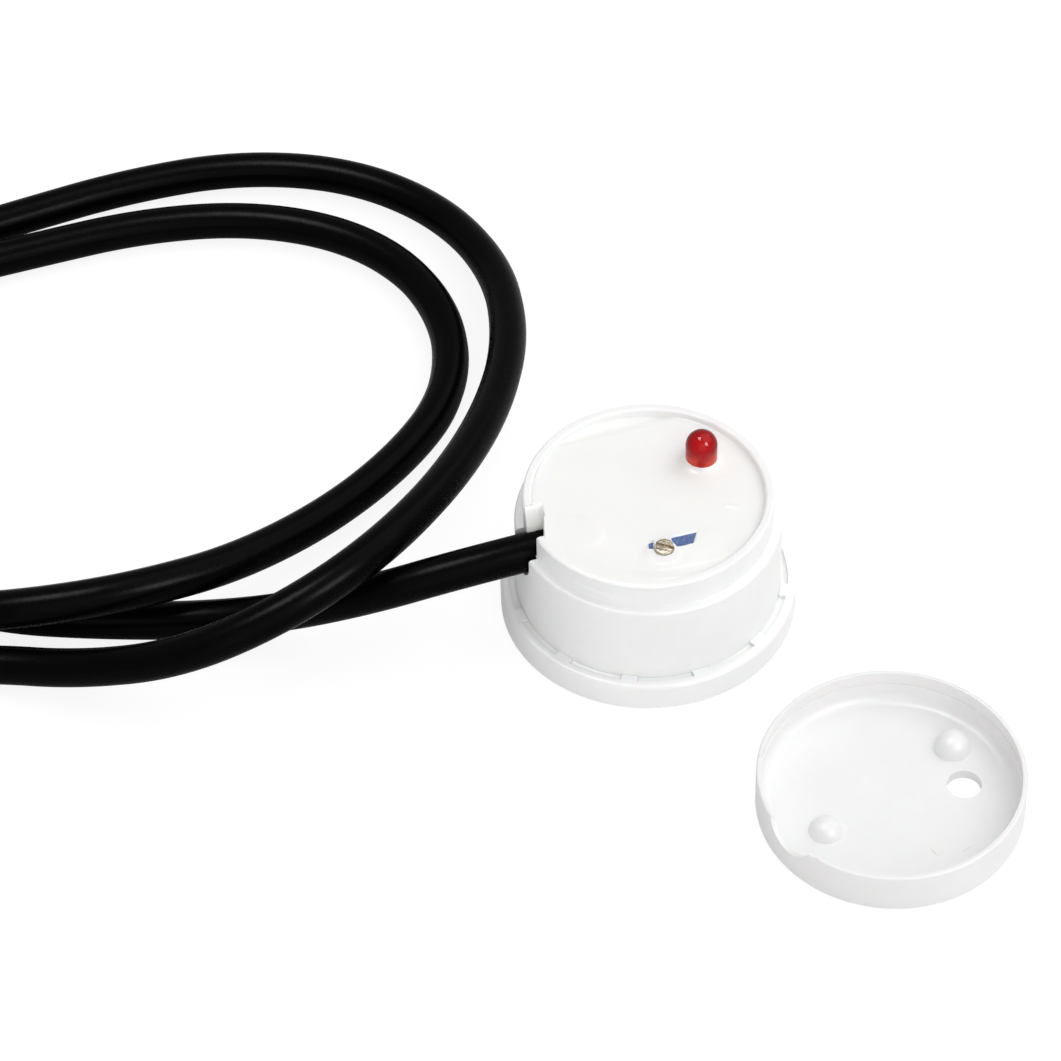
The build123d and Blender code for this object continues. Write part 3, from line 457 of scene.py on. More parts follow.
NODE_FINISHES: dict[Finish, tuple[str, ...]] = {
    MOULDED_ABS: ("base_flange", "housing_body"),
    CAP_ABS_PAINTED_SHADE: ("cap",),
    CAST_RESIN: ("potting",),
    PAINTED_LIGHT_LENS: ("led_lens",),
    TURNED_BRASS: ("trimmer_screw",),
    # Glass-filled thermoset of the trimmer case: dull cobalt blue with a sandy surface.
    Finish("moulded_blue_thermoset", "4E72AA", "24407E", roughness=0.5, cloud_mm=0.25,
           grain_mm=0.18, grain_height_mm=0.02, ior=1.58): ("trimmer_body",),
    EXTRUDED_JACKET: ("cable_jacket",),
    **{finish: (f"{name}_core", f"{name}_core_inner") for name, finish in CORE_FINISHES.items()},
    DIPPED_TIN: ("tinned_tips", "core_conductors"),
    # Reflowed tin alloy: brighter and smoother than dipped wire.
    Finish("reflowed_solder", "D3D3D0", "BCBBB7", roughness=0.18, spread=0.08, cloud_mm=0.6,
           grain_mm=0.2, grain_height_mm=0.012, metallic=1.0): ("solder_joints", "chip_end_caps"),
    # Stamped lead frame, plated with matt tin.
    Finish("plated_lead_frame", "C4C3BF", "ADACA7", roughness=0.34, cloud_mm=0.5, grain_mm=0.08,
           grain_height_mm=0.003, metallic=1.0): (
        "led_anode_lead", "led_cathode_lead", "trimmer_pins", "touch_chip_leads",
        "regulator_leads", "transistor_leads", "diode_leads"),
    # Rolled copper foil, dulled by handling: orange pink with brown clouds.
    Finish("rolled_copper", "C8814F", "A9653A", roughness=0.33, spread=0.1, cloud_mm=2.5,
           grain_mm=0.3, metallic=1.0): ("sensing_electrode", "electrode_pin"),
    # Acrylic glue film: clear yellow, slightly wavy.
    Finish("acrylic_glue_film", "E8DDB4", "DCCF9E", roughness=0.4, grain_mm=0.6,
           grain_height_mm=0.02, ior=1.47): ("adhesive_pad",),
    # Glass-fibre laminate under green lacquer.
    MaskedBoard("masked_laminate", "1C6B3C", "1C6B3C", roughness=0.28, grain_mm=0.35,
                grain_height_mm=0.006, ior=1.56): ("circuit_board",),
    # Transfer-moulded epoxy of chip cases: charcoal with a dry spark-eroded surface.
    Finish("moulded_black_epoxy", "202123", "2B2C2E", roughness=0.6, cloud_mm=1.0, grain_mm=0.09,
           grain_height_mm=0.008, ior=1.6): (
        "touch_chip", "voltage_regulator", "output_transistor", "protection_diode"),
    # Fired alumina chips with a black overglaze, and barium titanate ones in tan.
    Finish("glazed_chip_resistor", "1D1E22", "26272B", roughness=0.25, cloud_mm=0.6,
           grain_mm=0.1, grain_height_mm=0.003, ior=1.6): ("chip_resistors",),
    Finish("fired_chip_capacitor", "A98A62", "977A55", roughness=0.4, cloud_mm=0.5,
           grain_mm=0.1, ior=1.7): ("chip_capacitors",),
    # Fired alumina plate of the trimmer.
    Finish("fired_alumina", "E9E6DC", "DBD7CB", roughness=0.5, cloud_mm=0.8, grain_mm=0.1,
           grain_height_mm=0.006, ior=1.76): ("trimmer_element",),
    # Nylon of the wiper wheel, cut from the sprue: milky with a waxy gloss.
    Finish("moulded_nylon", "E6E1CF", "D9D3BF", roughness=0.38, cloud_mm=1.0, grain_mm=0.12,
           ior=1.53, subsurface=0.2, subsurface_mm=0.5): ("trimmer_wiper",),
    # Sawn crystal of the indicator's die.
    Finish("sawn_die", "7A4B3A", "693E2F", roughness=0.3, cloud_mm=0.1, grain_mm=0.03,
           grain_height_mm=0.001, ior=3.0): ("led_die",),
}


def enlist(name: str, data: bpy.types.ID, finish: Finish, body: Body,
           replaces: Sequence[str]) -> bpy.types.Object:
    """Makes a mesh or curve a finished piece of the object.

    Args:
        name: The piece's name.
        data: Its mesh or curve, in place.
        finish: Its finish.
        body: The CAD body that it rides on.
        replaces: CAD nodes that it stands for.

    Returns:
        The new object.
    """
    piece = bpy.data.objects.new(name, data)
    bpy.context.scene.collection.objects.link(piece)
    finish.dress(piece)
    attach(piece, body.value)
    if replaces:
        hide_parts(*replaces)
    return piece


def make_piece(name: str, shape: Shape, finish: Finish, body: Body,
               replaces: Sequence[str] = (), crease: float = 32.0) -> bpy.types.Object:
    """Turns a bmesh into a finished piece of the object.

    Args:
        name: The piece's name.
        shape: Its shape in metres, in place; it is freed here.
        finish: Its finish.
        body: The CAD body that it rides on.
        replaces: CAD nodes that it stands for.
        crease: Angle in degrees above which an edge stays sharp.

    Returns:
        The new object.
    """
    loose = sum(1 for edge in shape.edges if len(edge.link_faces) != 2)
    LOG.info("%s: %d faces, %d open edges", name, len(shape.faces), loose)
    mesh = bpy.data.meshes.new(name)
    shape.to_mesh(mesh)
    shape.free()
    mesh.shade_smooth()
    mesh.set_sharp_from_angle(angle=math.radians(crease))
    return enlist(name, mesh, finish, body, replaces)


def spun(profile: Sequence[Pair], axis_at: Point, steps: int) -> Shape:
    """Turns a profile about an upright axis into a closed shell.

    Args:
        profile: Radius and height of each point in millimetres, from lower to upper pole.
        axis_at: A point of the axis in millimetres.
        steps: Number of faces round it.

    Returns:
        The closed shell, in metres, with faces pointing outwards.
    """
    shape = bmesh.new()
    centre = Vector(axis_at) * MM
    rim = [shape.verts.new(centre + Vector((r, 0, z)) * MM) for r, z in profile]
    edges = [shape.edges.new(pair) for pair in zip(rim, rim[1:])]
    bmesh.ops.spin(shape, geom=rim + edges, cent=centre, axis=(0, 0, 1), angle=2 * math.pi,
                   steps=steps, use_merge=True)
    bmesh.ops.remove_doubles(shape, verts=shape.verts, dist=MERGE_MM * MM)
    bmesh.ops.recalc_face_normals(shape, faces=shape.faces)
    return shape


def add_shell(shape: Shape, shell: Shape) -> None:
    """Adds a second closed shell to a shape and frees it.

    Args:
        shape: The shape that grows.
        shell: The shell that it takes up.
    """
    carrier = bpy.data.meshes.new("carrier")
    shell.to_mesh(carrier)
    shell.free()
    shape.from_mesh(carrier)
    bpy.data.meshes.remove(carrier)


def close_up(shape: Shape) -> None:
    """Fills a shape's open ends and turns its faces outwards."""
    bmesh.ops.holes_fill(shape, edges=[edge for edge in shape.edges if edge.is_boundary])
    bmesh.ops.recalc_face_normals(shape, faces=shape.faces)


def cut_away(shape: Shape, at: Vector, outward: Vector) -> None:
    """Cuts off everything beyond a plane and closes the cut.

    Args:
        shape: A closed shell, in metres.
        at: A point of the plane.
        outward: The side that goes.
    """
    bmesh.ops.bisect_plane(shape, geom=shape.verts[:] + shape.edges[:] + shape.faces[:],
                           plane_co=at, plane_no=outward, clear_outer=True)
    close_up(shape)


def to_metres(shape: Shape) -> None:
    """Scales a shape from millimetres to metres and turns its faces outwards."""
    bmesh.ops.scale(shape, vec=(MM, MM, MM), verts=shape.verts)
    bmesh.ops.recalc_face_normals(shape, faces=shape.faces)


@dataclass(frozen=True)
class Lamp:
    """A soft square lamp that points at the puck.

    Attributes:
        name: Its name.
        place_m: Where it stands, in metres.
        size_m: Its width in metres.
        power: Its power in watts.
        glint_only: Whether it shows in glossy surfaces only.
    """

    name: str
    place_m: Point
    size_m: float
    power: float
    glint_only: bool = False

    def add(self) -> None:
        """Sets the lamp up."""
        data = bpy.data.lights.new(self.name, "AREA")
        data.shape = "SQUARE"
        data.size = self.size_m
        data.energy = self.power
        lamp = bpy.data.objects.new(self.name, data)
        lamp.location = self.place_m
        lamp.rotation_mode = "QUATERNION"
        lamp.rotation_quaternion = (-Vector(self.place_m)).to_track_quat("-Z", "Y")
        lamp.visible_diffuse = not self.glint_only
        bpy.context.scene.collection.objects.link(lamp)


@dataclass
class Studio:
    """Camera, lamps and floor.

    Attributes:
        camera_mm: Where the camera stands.
        down: The camera's downward direction.
        ahead: The way it looks.
        photo_px: Width and height of the photograph.
        focal_px: Focal length in the photograph's pixels.
        sensor_mm: Width of Blender's sensor.
        clip_m: Nearest and farthest distance that the camera sees.
        floor_m: Width of the floor.
        surround: Strength of the white surround's light.
        floor_glow: Light that the floor adds where the camera sees it.
        lamps: The lamps.
    """

    camera_mm: Point = (-11.01, -266.68, 297.9)
    down: Point = (-0.0287, -0.7336, -0.679)
    ahead: Point = (0.0, 0.6793, -0.7339)
    photo_px: int = 1061
    focal_px: float = 4200.0
    sensor_mm: float = 36.0
    clip_m: Pair = (0.01, 20.0)
    floor_m: float = 6.0
    surround: float = 0.6
    floor_glow: float = 0.86
    lamps: Sequence[Lamp] = (
        Lamp("key_lamp", (0.75, 0.35, 1.2), 1.6, 10.5),
        Lamp("fill_lamp", (0.25, -1.35, 0.75), 1.6, 7.0),
        Lamp("top_glint", (-0.24, 0.05, 0.97), 0.36, 8.0, glint_only=True),
        Lamp("side_glint", (0.55, -0.53, 0.65), 0.36, 8.0, glint_only=True),
    )

    def place_camera(self) -> None:
        """Sets up the camera at the photograph's viewing angle."""
        data = bpy.data.cameras.new("camera")
        data.sensor_width = self.sensor_mm
        data.lens = self.focal_px * self.sensor_mm / self.photo_px
        data.clip_start, data.clip_end = self.clip_m
        camera = bpy.data.objects.new("camera", data)
        ahead = Vector(self.ahead).normalized()
        side = ahead.cross(-Vector(self.down)).normalized()
        up = side.cross(ahead).normalized()
        turn = Matrix((side, up, -ahead)).transposed().to_4x4()
        camera.matrix_world = Matrix.Translation(Vector(self.camera_mm) * MM) @ turn
        bpy.context.scene.collection.objects.link(camera)
        bpy.context.scene.camera = camera

    def light(self) -> None:
        """Adds the lamps and a plain surround that the camera sees as white."""
        for lamp in self.lamps:
            lamp.add()
        world = bpy.data.worlds.new("surround")
        world.use_nodes = True
        tree = world.node_tree
        tree.nodes.clear()
        plain, bright = (
            add_node(tree, "ShaderNodeBackground",
                     values={"Color": to_linear("FFFFFF"), "Strength": strength})
            for strength in (self.surround, 1.0))
        add_node(tree, "ShaderNodeOutputWorld", {"Surface": seen_or_lit(tree, plain, bright)})
        bpy.context.scene.world = world

    def lay_floor(self) -> None:
        """Lays a pale floor that shows white and keeps a soft shadow."""
        shape = bmesh.new()
        bmesh.ops.create_grid(shape, x_segments=1, y_segments=1, size=self.floor_m / 2)
        mesh = bpy.data.meshes.new("floor")
        shape.to_mesh(mesh)
        shape.free()
        floor = bpy.data.objects.new("floor", mesh)
        bpy.context.scene.collection.objects.link(floor)
        paper = bpy.data.materials.new("white_paper")
        paper.use_nodes = True
        tree = paper.node_tree
        tree.nodes.clear()
        plain, faint = (add_node(tree, "ShaderNodeBsdfDiffuse", values={"Color": to_linear(code)})
                        for code in ("F0F0F0", "7C7C7C"))
        glow = add_node(tree, "ShaderNodeEmission",
                        values={"Color": to_linear("FFFFFF"), "Strength": self.floor_glow})
        pale = add_node(tree, "ShaderNodeAddShader", {0: faint.outputs[0], 1: glow.outputs[0]})
        add_node(tree, "ShaderNodeOutputMaterial", {"Surface": seen_or_lit(tree, plain, pale)})
        mesh.materials.append(paper)

    def build(self) -> None:
        """Sets up camera, lamps and floor."""
        self.place_camera()
        self.light()
        self.lay_floor()
        bpy.context.scene.view_settings.view_transform = "Standard"


@dataclass(frozen=True)
class Mound:
    """A low rise or dip of the resin, oval in plan.

    Attributes:
        centre: Its middle, in plan.
        half_length: Half its length.
        half_width: Half its width.
        angle: Angle of its length in degrees.
        height: Its height, below 0 for a dip.
        edge: Share of its reach over which it falls away.
        squareness: 2 for an oval, more for a rounded oblong.
    """

    centre: Pair
    half_length: float
    half_width: float
    angle: float
    height: float
    edge: float
    squareness: float = 2.0

    def rise(self, place: Vector) -> float:
        """Gives the mound's height.

        Args:
            place: A place in plan, in millimetres.

        Returns:
            The rise there, or the dip as a value below 0.
        """
        turn = math.radians(self.angle)
        east, north = place.x - self.centre[0], place.y - self.centre[1]
        along = abs(east * math.cos(turn) + north * math.sin(turn)) / self.half_length
        across = abs(north * math.cos(turn) - east * math.sin(turn)) / self.half_width
        reach = (along ** self.squareness + across ** self.squareness) ** (1 / self.squareness)
        return self.height * (1 - smooth_step(1 - self.edge, 1.0, reach))


@dataclass(frozen=True)
class Climb:
    """Resin drawn up the side of a round piece.

    Attributes:
        centre: The piece's axis in plan.
        radius: Its radius.
        height: How far the resin climbs.
        fall: Distance over which that falls to about a third.
    """

    centre: Pair
    radius: float
    height: float
    fall: float

    def rise(self, place: Vector) -> float:
        """Gives the resin's rise at a place in plan."""
        gap = max(0.0, (place.xy - Vector(self.centre)).length - self.radius)
        return self.height * math.exp(-gap / self.fall)


@dataclass(frozen=True)
class Window:
    """A place where the resin has run off the trimmer's case and leaves it bare.

    Attributes:
        corners: Corners of a convex outline in plan, anticlockwise.
        edge: Width of the resin's rounded edge.
    """

    corners: Sequence[Pair]
    edge: float

    def share(self, place: Vector) -> float:
        """Tells how far a place lies inside the window.

        Args:
            place: A place in plan, in millimetres.

        Returns:
            1 well inside the window, 0 outside it and a ramp at its edge.
        """
        inside = math.inf
        for (ax, ay), (bx, by) in zip(self.corners, [*self.corners[1:], self.corners[0]]):
            run = math.hypot(bx - ax, by - ay)
            inside = min(inside, ((bx - ax) * (place.y - ay) - (by - ay) * (place.x - ax)) / run)
        return smooth_step(0.0, self.edge, inside)


@dataclass
class CastResin:
    """The resin body, with the free surface that set as it was poured.

    It lies tilted, climbs whatever it wets, has spilt over the rim at the front left, has run off
    two places of the trimmer's case, falls away at the rear and slopes down behind the cable.

    Attributes:
        rim: Height of the neck's rim.
        level: Height of the free surface in the middle.
        slope: Its tilt in degrees.
        high_angle: Side that it rises to.
        highest: Height that it keeps below inside the bore.
        bore: Radius of the neck's bore.
        bore_climb: How far it climbs the bore, and over what distance that falls.
        reach: Radius of the sheet before it is stretched.
        spilt_reach: Radius of the spill.
        back_angle: Side where it falls away.
        back_dip: Depth of that fall.
        back_span: Distances from the axis between which it falls.
        spill_start: Angles between which the spill sets in.
        spill_end: Angles between which it ends.
        lip_rise: Height of the spill over the rim.
        lip_drop: How far its outer edge drops.
        lip_edge: Radii between which it drops.
        lip_bend: Power that makes the drop set in gently.
        lip_span: Radii between which the surface turns into the spill.
        hidden_level: Height of the sheet's edge, inside the neck, where nothing has spilt.
        hidden_from: Radius from which that holds.
        floor: Height of the underside.
        lip_floor: Height of the underside beyond the bore.
        lip_root: Radius where the underside steps up to it.
        steps: Number of runs round the sheet.
        coarse: Mesh size in the middle.
        fine: Mesh size towards the rim.
        fine_from: Radius where the fine mesh begins.
        finest: Places in plan and radii round them that get the finest mesh.
        finest_notch: Distance out and half width of the notch's finest mesh.
        bare_level: Height of the resin in a window, under the case's top.
        case_skin: The case's top, which the resin covers.
        skin_level: Height of that skin.
        case_room: Room for the case under the resin.
        case_floor: Height of the underside there.
        screw_hole: Radius of the hole round the screw.
        lens_hole: Radius of the hole round the indicator.
        notch_angle: Direction of the cable's notch.
        notch_half: Half its width.
        notch_play: How far past its sides the surface drops.
        notch_soft: Width over which the spill narrows beside it.
        notch_wall: Distances left of the axis between which the resin ends at the cable.
        notch_level: Height of the sheet in the notch.
        filled_to: Distance in front of the notch's middle line that resin fills its rear to.
        fill_level: Height of that fill at the rim.
        fill_span: Radii between which it rises to that height.
        ramp_to: Distance in front of the middle line where the fill's slope would end.
        ramp_drop: Depth of that slope.
        ramp_span: Distances left of the axis between which that slope sets in.
        climbs: Rises at round pieces.
        mounds: Other rises and dips.
        windows: Bare places of the trimmer's case.
    """

    rim: float = 14.4
    level: float = 14.03
    slope: float = 2.0
    high_angle: float = -150.0
    highest: float = 14.37
    bore: float = 10.8
    bore_climb: Pair = (0.18, 0.3)
    reach: float = 11.56
    spilt_reach: float = 11.76
    back_angle: float = 108.0
    back_dip: float = 0.45
    back_span: Pair = (8.7, 9.7)
    spill_start: Pair = (-170.0, -166.0)
    spill_end: Pair = (-92.0, -64.0)
    lip_rise: float = 0.035
    lip_drop: float = 0.34
    lip_edge: Pair = (11.2, 11.8)
    lip_bend: float = 1.5
    lip_span: Pair = (9.4, 10.7)
    hidden_level: float = 14.2
    hidden_from: float = 10.85
    floor: float = 8.2
    lip_floor: float = 13.2
    lip_root: float = 10.7
    steps: int = 200
    coarse: float = 0.3
    fine: float = 0.12
    fine_from: float = 9.3
    finest: Sequence[tuple[Pair, float]] = ((CASE_AT, 3.5), (LENS_AT, 2.2))
    finest_notch: Pair = (9.9, 2.7)
    bare_level: float = 13.9
    case_skin: Mound = Mound(CASE_AT, 3.6, 2.3, 15.0, 1.0, 0.12, 8.0)
    skin_level: float = 13.99
    case_room: Mound = Mound(CASE_AT, 3.9, 2.6, 15.0, 1.0, 0.1, 8.0)
    case_floor: float = 13.6
    screw_hole: float = 0.94
    lens_hole: float = 1.46
    notch_angle: float = -163.36
    notch_half: float = 2.1
    notch_play: float = 0.1
    notch_soft: float = 0.3
    notch_wall: Pair = (9.75, 9.85)
    notch_level: float = 11.32
    filled_to: float = -1.0
    fill_level: float = 14.34
    fill_span: Pair = (10.0, 10.9)
    ramp_to: float = -0.5
    ramp_drop: float = 2.6
    ramp_span: Pair = (9.7, 10.2)
    climbs: Sequence[Climb] = (Climb(LENS_AT, 1.5, 0.5, 0.4), Climb(SCREW_AT, 0.95, 0.2, 0.3))
    mounds: Sequence[Mound] = (
        Mound((2.6, -7.5), 4.3, 3.1, 12.0, 0.16, 0.7),
        Mound(CASE_AT, 3.36, 2.06, 15.0, 0.045, 0.06, 8.0),
        Mound((1.0, -7.4), 2.0, 1.6, 0.0, 0.12, 0.45),
        Mound((-6.5, -4.4), 2.5, 1.9, -30.0, 0.2, 0.2),
        Mound((7.7, -1.5), 1.0, 0.24, -12.0, 0.14, 0.6),
        Mound((2.4, 4.6), 1.5, 1.9, 0.0, -0.05, 0.9),
    )
    windows: Sequence[Window] = (
        Window(((1.85, -5.95), (2.4, -6.8), (3.95, -6.2), (4.4, -4.4), (1.8, -5.15)), 0.12),
        Window(((0.3, -5.75), (-0.45, -5.7), (-0.2, -6.95), (0.25, -7.0)), 0.08),
    )

    def notch_place(self, place: Vector) -> Pair:
        """Gives how far a place lies out along the notch, and in front of its middle line."""
        out = around(1.0, self.notch_angle)
        return place.dot(out), place.x * -out.y + place.y * out.x

    def spill(self, place: Vector) -> float:
        """Gives the share of the rim's width that the resin covers at a place's angle."""
        angle = math.degrees(math.atan2(place.y, place.x))
        return smooth_step(*self.spill_start, angle) * (1 - smooth_step(*self.spill_end, angle))

    def surface(self, place: Vector) -> float:
        """Gives the height of the free surface.

        Args:
            place: A place in plan, in millimetres.

        Returns:
            Its height in millimetres.
        """
        radius = place.xy.length
        tilt = math.tan(math.radians(self.slope))
        height = self.level + tilt * place.dot(around(1.0, self.high_angle))
        height += sum(form.rise(place) for form in (*self.mounds, *self.climbs))
        climb, fall = self.bore_climb
        height += climb * math.exp(-max(0.0, self.bore - radius) / fall)
        back = place.dot(around(1.0, self.back_angle))
        height -= self.back_dip * smooth_step(*self.back_span, back)
        height = min(height, self.highest)
        height = max(height, toward(height, self.skin_level, self.case_skin.rise(place)))
        for window in self.windows:
            height = toward(height, self.bare_level, window.share(place))
        spill = self.spill(place)
        drop = self.lip_drop * smooth_step(*self.lip_edge, radius) ** self.lip_bend
        lip = self.rim + self.lip_rise - drop
        height = toward(height, lip, spill * smooth_step(*self.lip_span, radius))
        if radius > self.hidden_from:
            height = toward(height, self.hidden_level, 1 - spill)
        out, aside = self.notch_place(place)
        if out <= 0 or abs(aside) >= self.notch_half + self.notch_play:
            return height
        if aside < self.filled_to:
            height = toward(height, self.fill_level, smooth_step(*self.fill_span, radius))
            ramp = smooth_step(-self.notch_half, self.ramp_to, aside)
            return height - self.ramp_drop * ramp * smooth_step(*self.ramp_span, -place.x)
        return toward(height, self.notch_level, smooth_step(*self.notch_wall, -place.x))

    def underside(self, place: Vector) -> float:
        """Gives the height of the body's underside, which clears the trimmer's case.

        Args:
            place: A place in plan, in millimetres.

        Returns:
            Its height in millimetres.
        """
        out, aside = self.notch_place(place)
        if out > 0 and abs(aside) < self.notch_half:
            return self.floor
        if place.xy.length > self.lip_root:
            return self.lip_floor
        return self.case_floor if self.case_room.rise(place) > 0 else self.floor

    def cut_hole(self, shape: Shape, at: Pair, radius: float) -> None:
        """Opens a round hole: nearby vertices move onto the circle and the faces inside it go.

        Args:
            shape: The flat sheet, in millimetres.
            at: Centre of the hole.
            radius: Its radius.
        """
        snap, margin = 0.05, 0.01
        for vert in shape.verts:
            arm = vert.co.xy - Vector(at)
            if abs(arm.length - radius) < snap:
                vert.co.xy = Vector(at) + arm.normalized() * radius
        gone = [face for face in shape.faces
                if (face.calc_center_median().xy - Vector(at)).length < radius - margin]
        bmesh.ops.delete(shape, geom=gone, context="FACES")

    def near_detail(self, place: Vector) -> bool:
        """Tells whether a place lies at the trimmer, the indicator or the notch.

        Args:
            place: A place in plan, in millimetres.

        Returns:
            Whether it needs the finest mesh.
        """
        out, aside = self.notch_place(place)
        least_out, half_width = self.finest_notch
        return (any((place.xy - Vector(at)).length < radius for at, radius in self.finest)
                or (out > least_out and abs(aside) < half_width))

    def flat_sheet(self) -> Shape:
        """Spins a flat sheet, refines it near detail and opens its holes.

        Returns:
            The sheet, in millimetres.
        """
        radii = [self.coarse * i for i in range(int(self.fine_from / self.coarse) + 1)]
        while radii[-1] < self.reach:
            radii.append(min(self.reach, radii[-1] + self.fine))
        shape = bmesh.new()
        line = [shape.verts.new((radius, 0, 0)) for radius in radii]
        edges = [shape.edges.new(pair) for pair in zip(line, line[1:])]
        bmesh.ops.spin(shape, geom=line + edges, cent=(0, 0, 0), axis=(0, 0, 1),
                       angle=2 * math.pi, steps=self.steps, use_merge=True)
        bmesh.ops.remove_doubles(shape, verts=shape.verts, dist=MERGE_MM)
        for _ in range(2):
            near = [edge for edge in shape.edges
                    if all(self.near_detail(vert.co) for vert in edge.verts)]
            bmesh.ops.subdivide_edges(shape, edges=near, cuts=1, use_grid_fill=True)
        self.cut_hole(shape, SCREW_AT, self.screw_hole)
        self.cut_hole(shape, LENS_AT, self.lens_hole)
        return shape

    def build(self) -> None:
        """Raises a flat sheet to the free surface and closes it below."""
        shape = self.flat_sheet()
        sheet = shape.verts[:]
        grown = bmesh.ops.extrude_face_region(shape, geom=shape.faces[:])["geom"]
        below = {item for item in grown if isinstance(item, bmesh.types.BMVert)}
        stretch = (self.spilt_reach - self.bore) / (self.reach - self.bore) - 1
        for vert in sheet:
            vert.co.z = self.surface(vert.co)
            radius = vert.co.xy.length
            if radius > self.bore:
                _, aside = self.notch_place(vert.co)
                clear = smooth_step(self.notch_half, self.notch_half + self.notch_soft, abs(aside))
                wide = 1 + stretch * self.spill(vert.co) * clear
                vert.co.xy *= (self.bore + (radius - self.bore) * wide) / radius
        for vert in below:
            vert.co.z = self.underside(vert.co)
        to_metres(shape)
        make_piece("cast_resin", shape, CAST_RESIN, Body.SENSOR, ["potting"],
                   crease=40.0)


@dataclass
class GlueBead:
    """The white glue that holds the tube in the dish: one run in each gap between two ribs.

    Attributes:
        inner: Radius of the tube, with a hair of play.
        outer: Radius of the dish's bore, less that play.
        foot: Height of the dish's floor.
        edge_level: Height that the glue reaches on the walls.
        middle_level: Height of its sagging middle.
        sag: Half the width of that middle, and its own rise.
        ribs: Number of ribs.
        first_rib: Angle of one rib.
        rib_half: Half the angle that a rib takes up.
        steps: Number of faces along a run.
    """

    inner: float = 12.51
    outer: float = 13.18
    foot: float = 1.01
    edge_level: float = 2.75
    middle_level: float = 2.62
    sag: Pair = (0.17, 0.03)
    ribs: int = 12
    first_rib: float = -10.0
    rib_half: float = 3.5
    steps: int = 16

    def build(self) -> None:
        """Spins the glue's section through each gap."""
        shape = bmesh.new()
        middle = (self.inner + self.outer) / 2
        half, rise = self.sag
        section = ((self.inner, self.foot), (self.outer, self.foot),
                   (self.outer, self.edge_level), (middle + half, self.middle_level + rise),
                   (middle, self.middle_level), (middle - half, self.middle_level + rise),
                   (self.inner, self.edge_level))
        spacing = 360.0 / self.ribs
        for number in range(self.ribs):
            start = self.first_rib + spacing * number + self.rib_half
            first = shape.faces.new([shape.verts.new(around(r, start, z)) for r, z in section])
            bmesh.ops.spin(shape, geom=[first], cent=(0, 0, 0), axis=(0, 0, 1),
                           angle=math.radians(spacing - 2 * self.rib_half), steps=self.steps)
        bmesh.ops.remove_doubles(shape, verts=shape.verts, dist=MERGE_MM)
        to_metres(shape)
        make_piece("glue_bead", shape, CAST_RESIN, Body.SENSOR)


@dataclass
class Indicator:
    """The round indicator: a domed lens on a flange with one flat.

    Attributes:
        seat: Height of the flange's underside.
        flange_radius: Radius of the flange.
        flange_height: Its height.
        radius: Radius of the lens.
        height: Height of the dome's top over the seat.
        flat_angle: Side on which the flange is cut flat.
        flat_distance: Distance of the flat from the axis.
        bevels: Bevels of the flange's lower edge, its upper edge and the corner on top of it.
        steps: Number of faces round the lens and up the dome.
    """

    seat: float = 12.05
    flange_radius: float = 1.9
    flange_height: float = 1.0
    radius: float = 1.5
    height: float = 5.3
    flat_angle: float = 311.0
    flat_distance: float = 1.65
    bevels: Point = (0.05, 0.08, 0.06)
    steps: tuple[int, int] = (64, 20)

    def build(self) -> None:
        """Spins the lens and cuts the flange's flat."""
        lower, upper, corner = self.bevels
        profile = [(0.0, 0.0), (self.flange_radius - lower, 0.0), (self.flange_radius, lower),
                   (self.flange_radius, self.flange_height - upper),
                   (self.flange_radius - upper, self.flange_height),
                   (self.radius + corner, self.flange_height),
                   (self.radius, self.flange_height + corner)]
        faces_round, faces_up = self.steps
        for step in range(faces_up + 1):
            turn = math.radians(90.0 * step / faces_up)
            profile.append((self.radius * math.cos(turn),
                            self.height - self.radius + self.radius * math.sin(turn)))
        shape = spun(profile, (*LENS_AT, self.seat), faces_round)
        outward = around(1.0, self.flat_angle)
        at = (Vector((*LENS_AT, self.seat)) + outward * self.flat_distance) * MM
        cut_away(shape, at, outward)
        make_piece("indicator_lens", shape, PAINTED_LIGHT_LENS, Body.SENSOR, ["led_lens"],
                   crease=25.0)


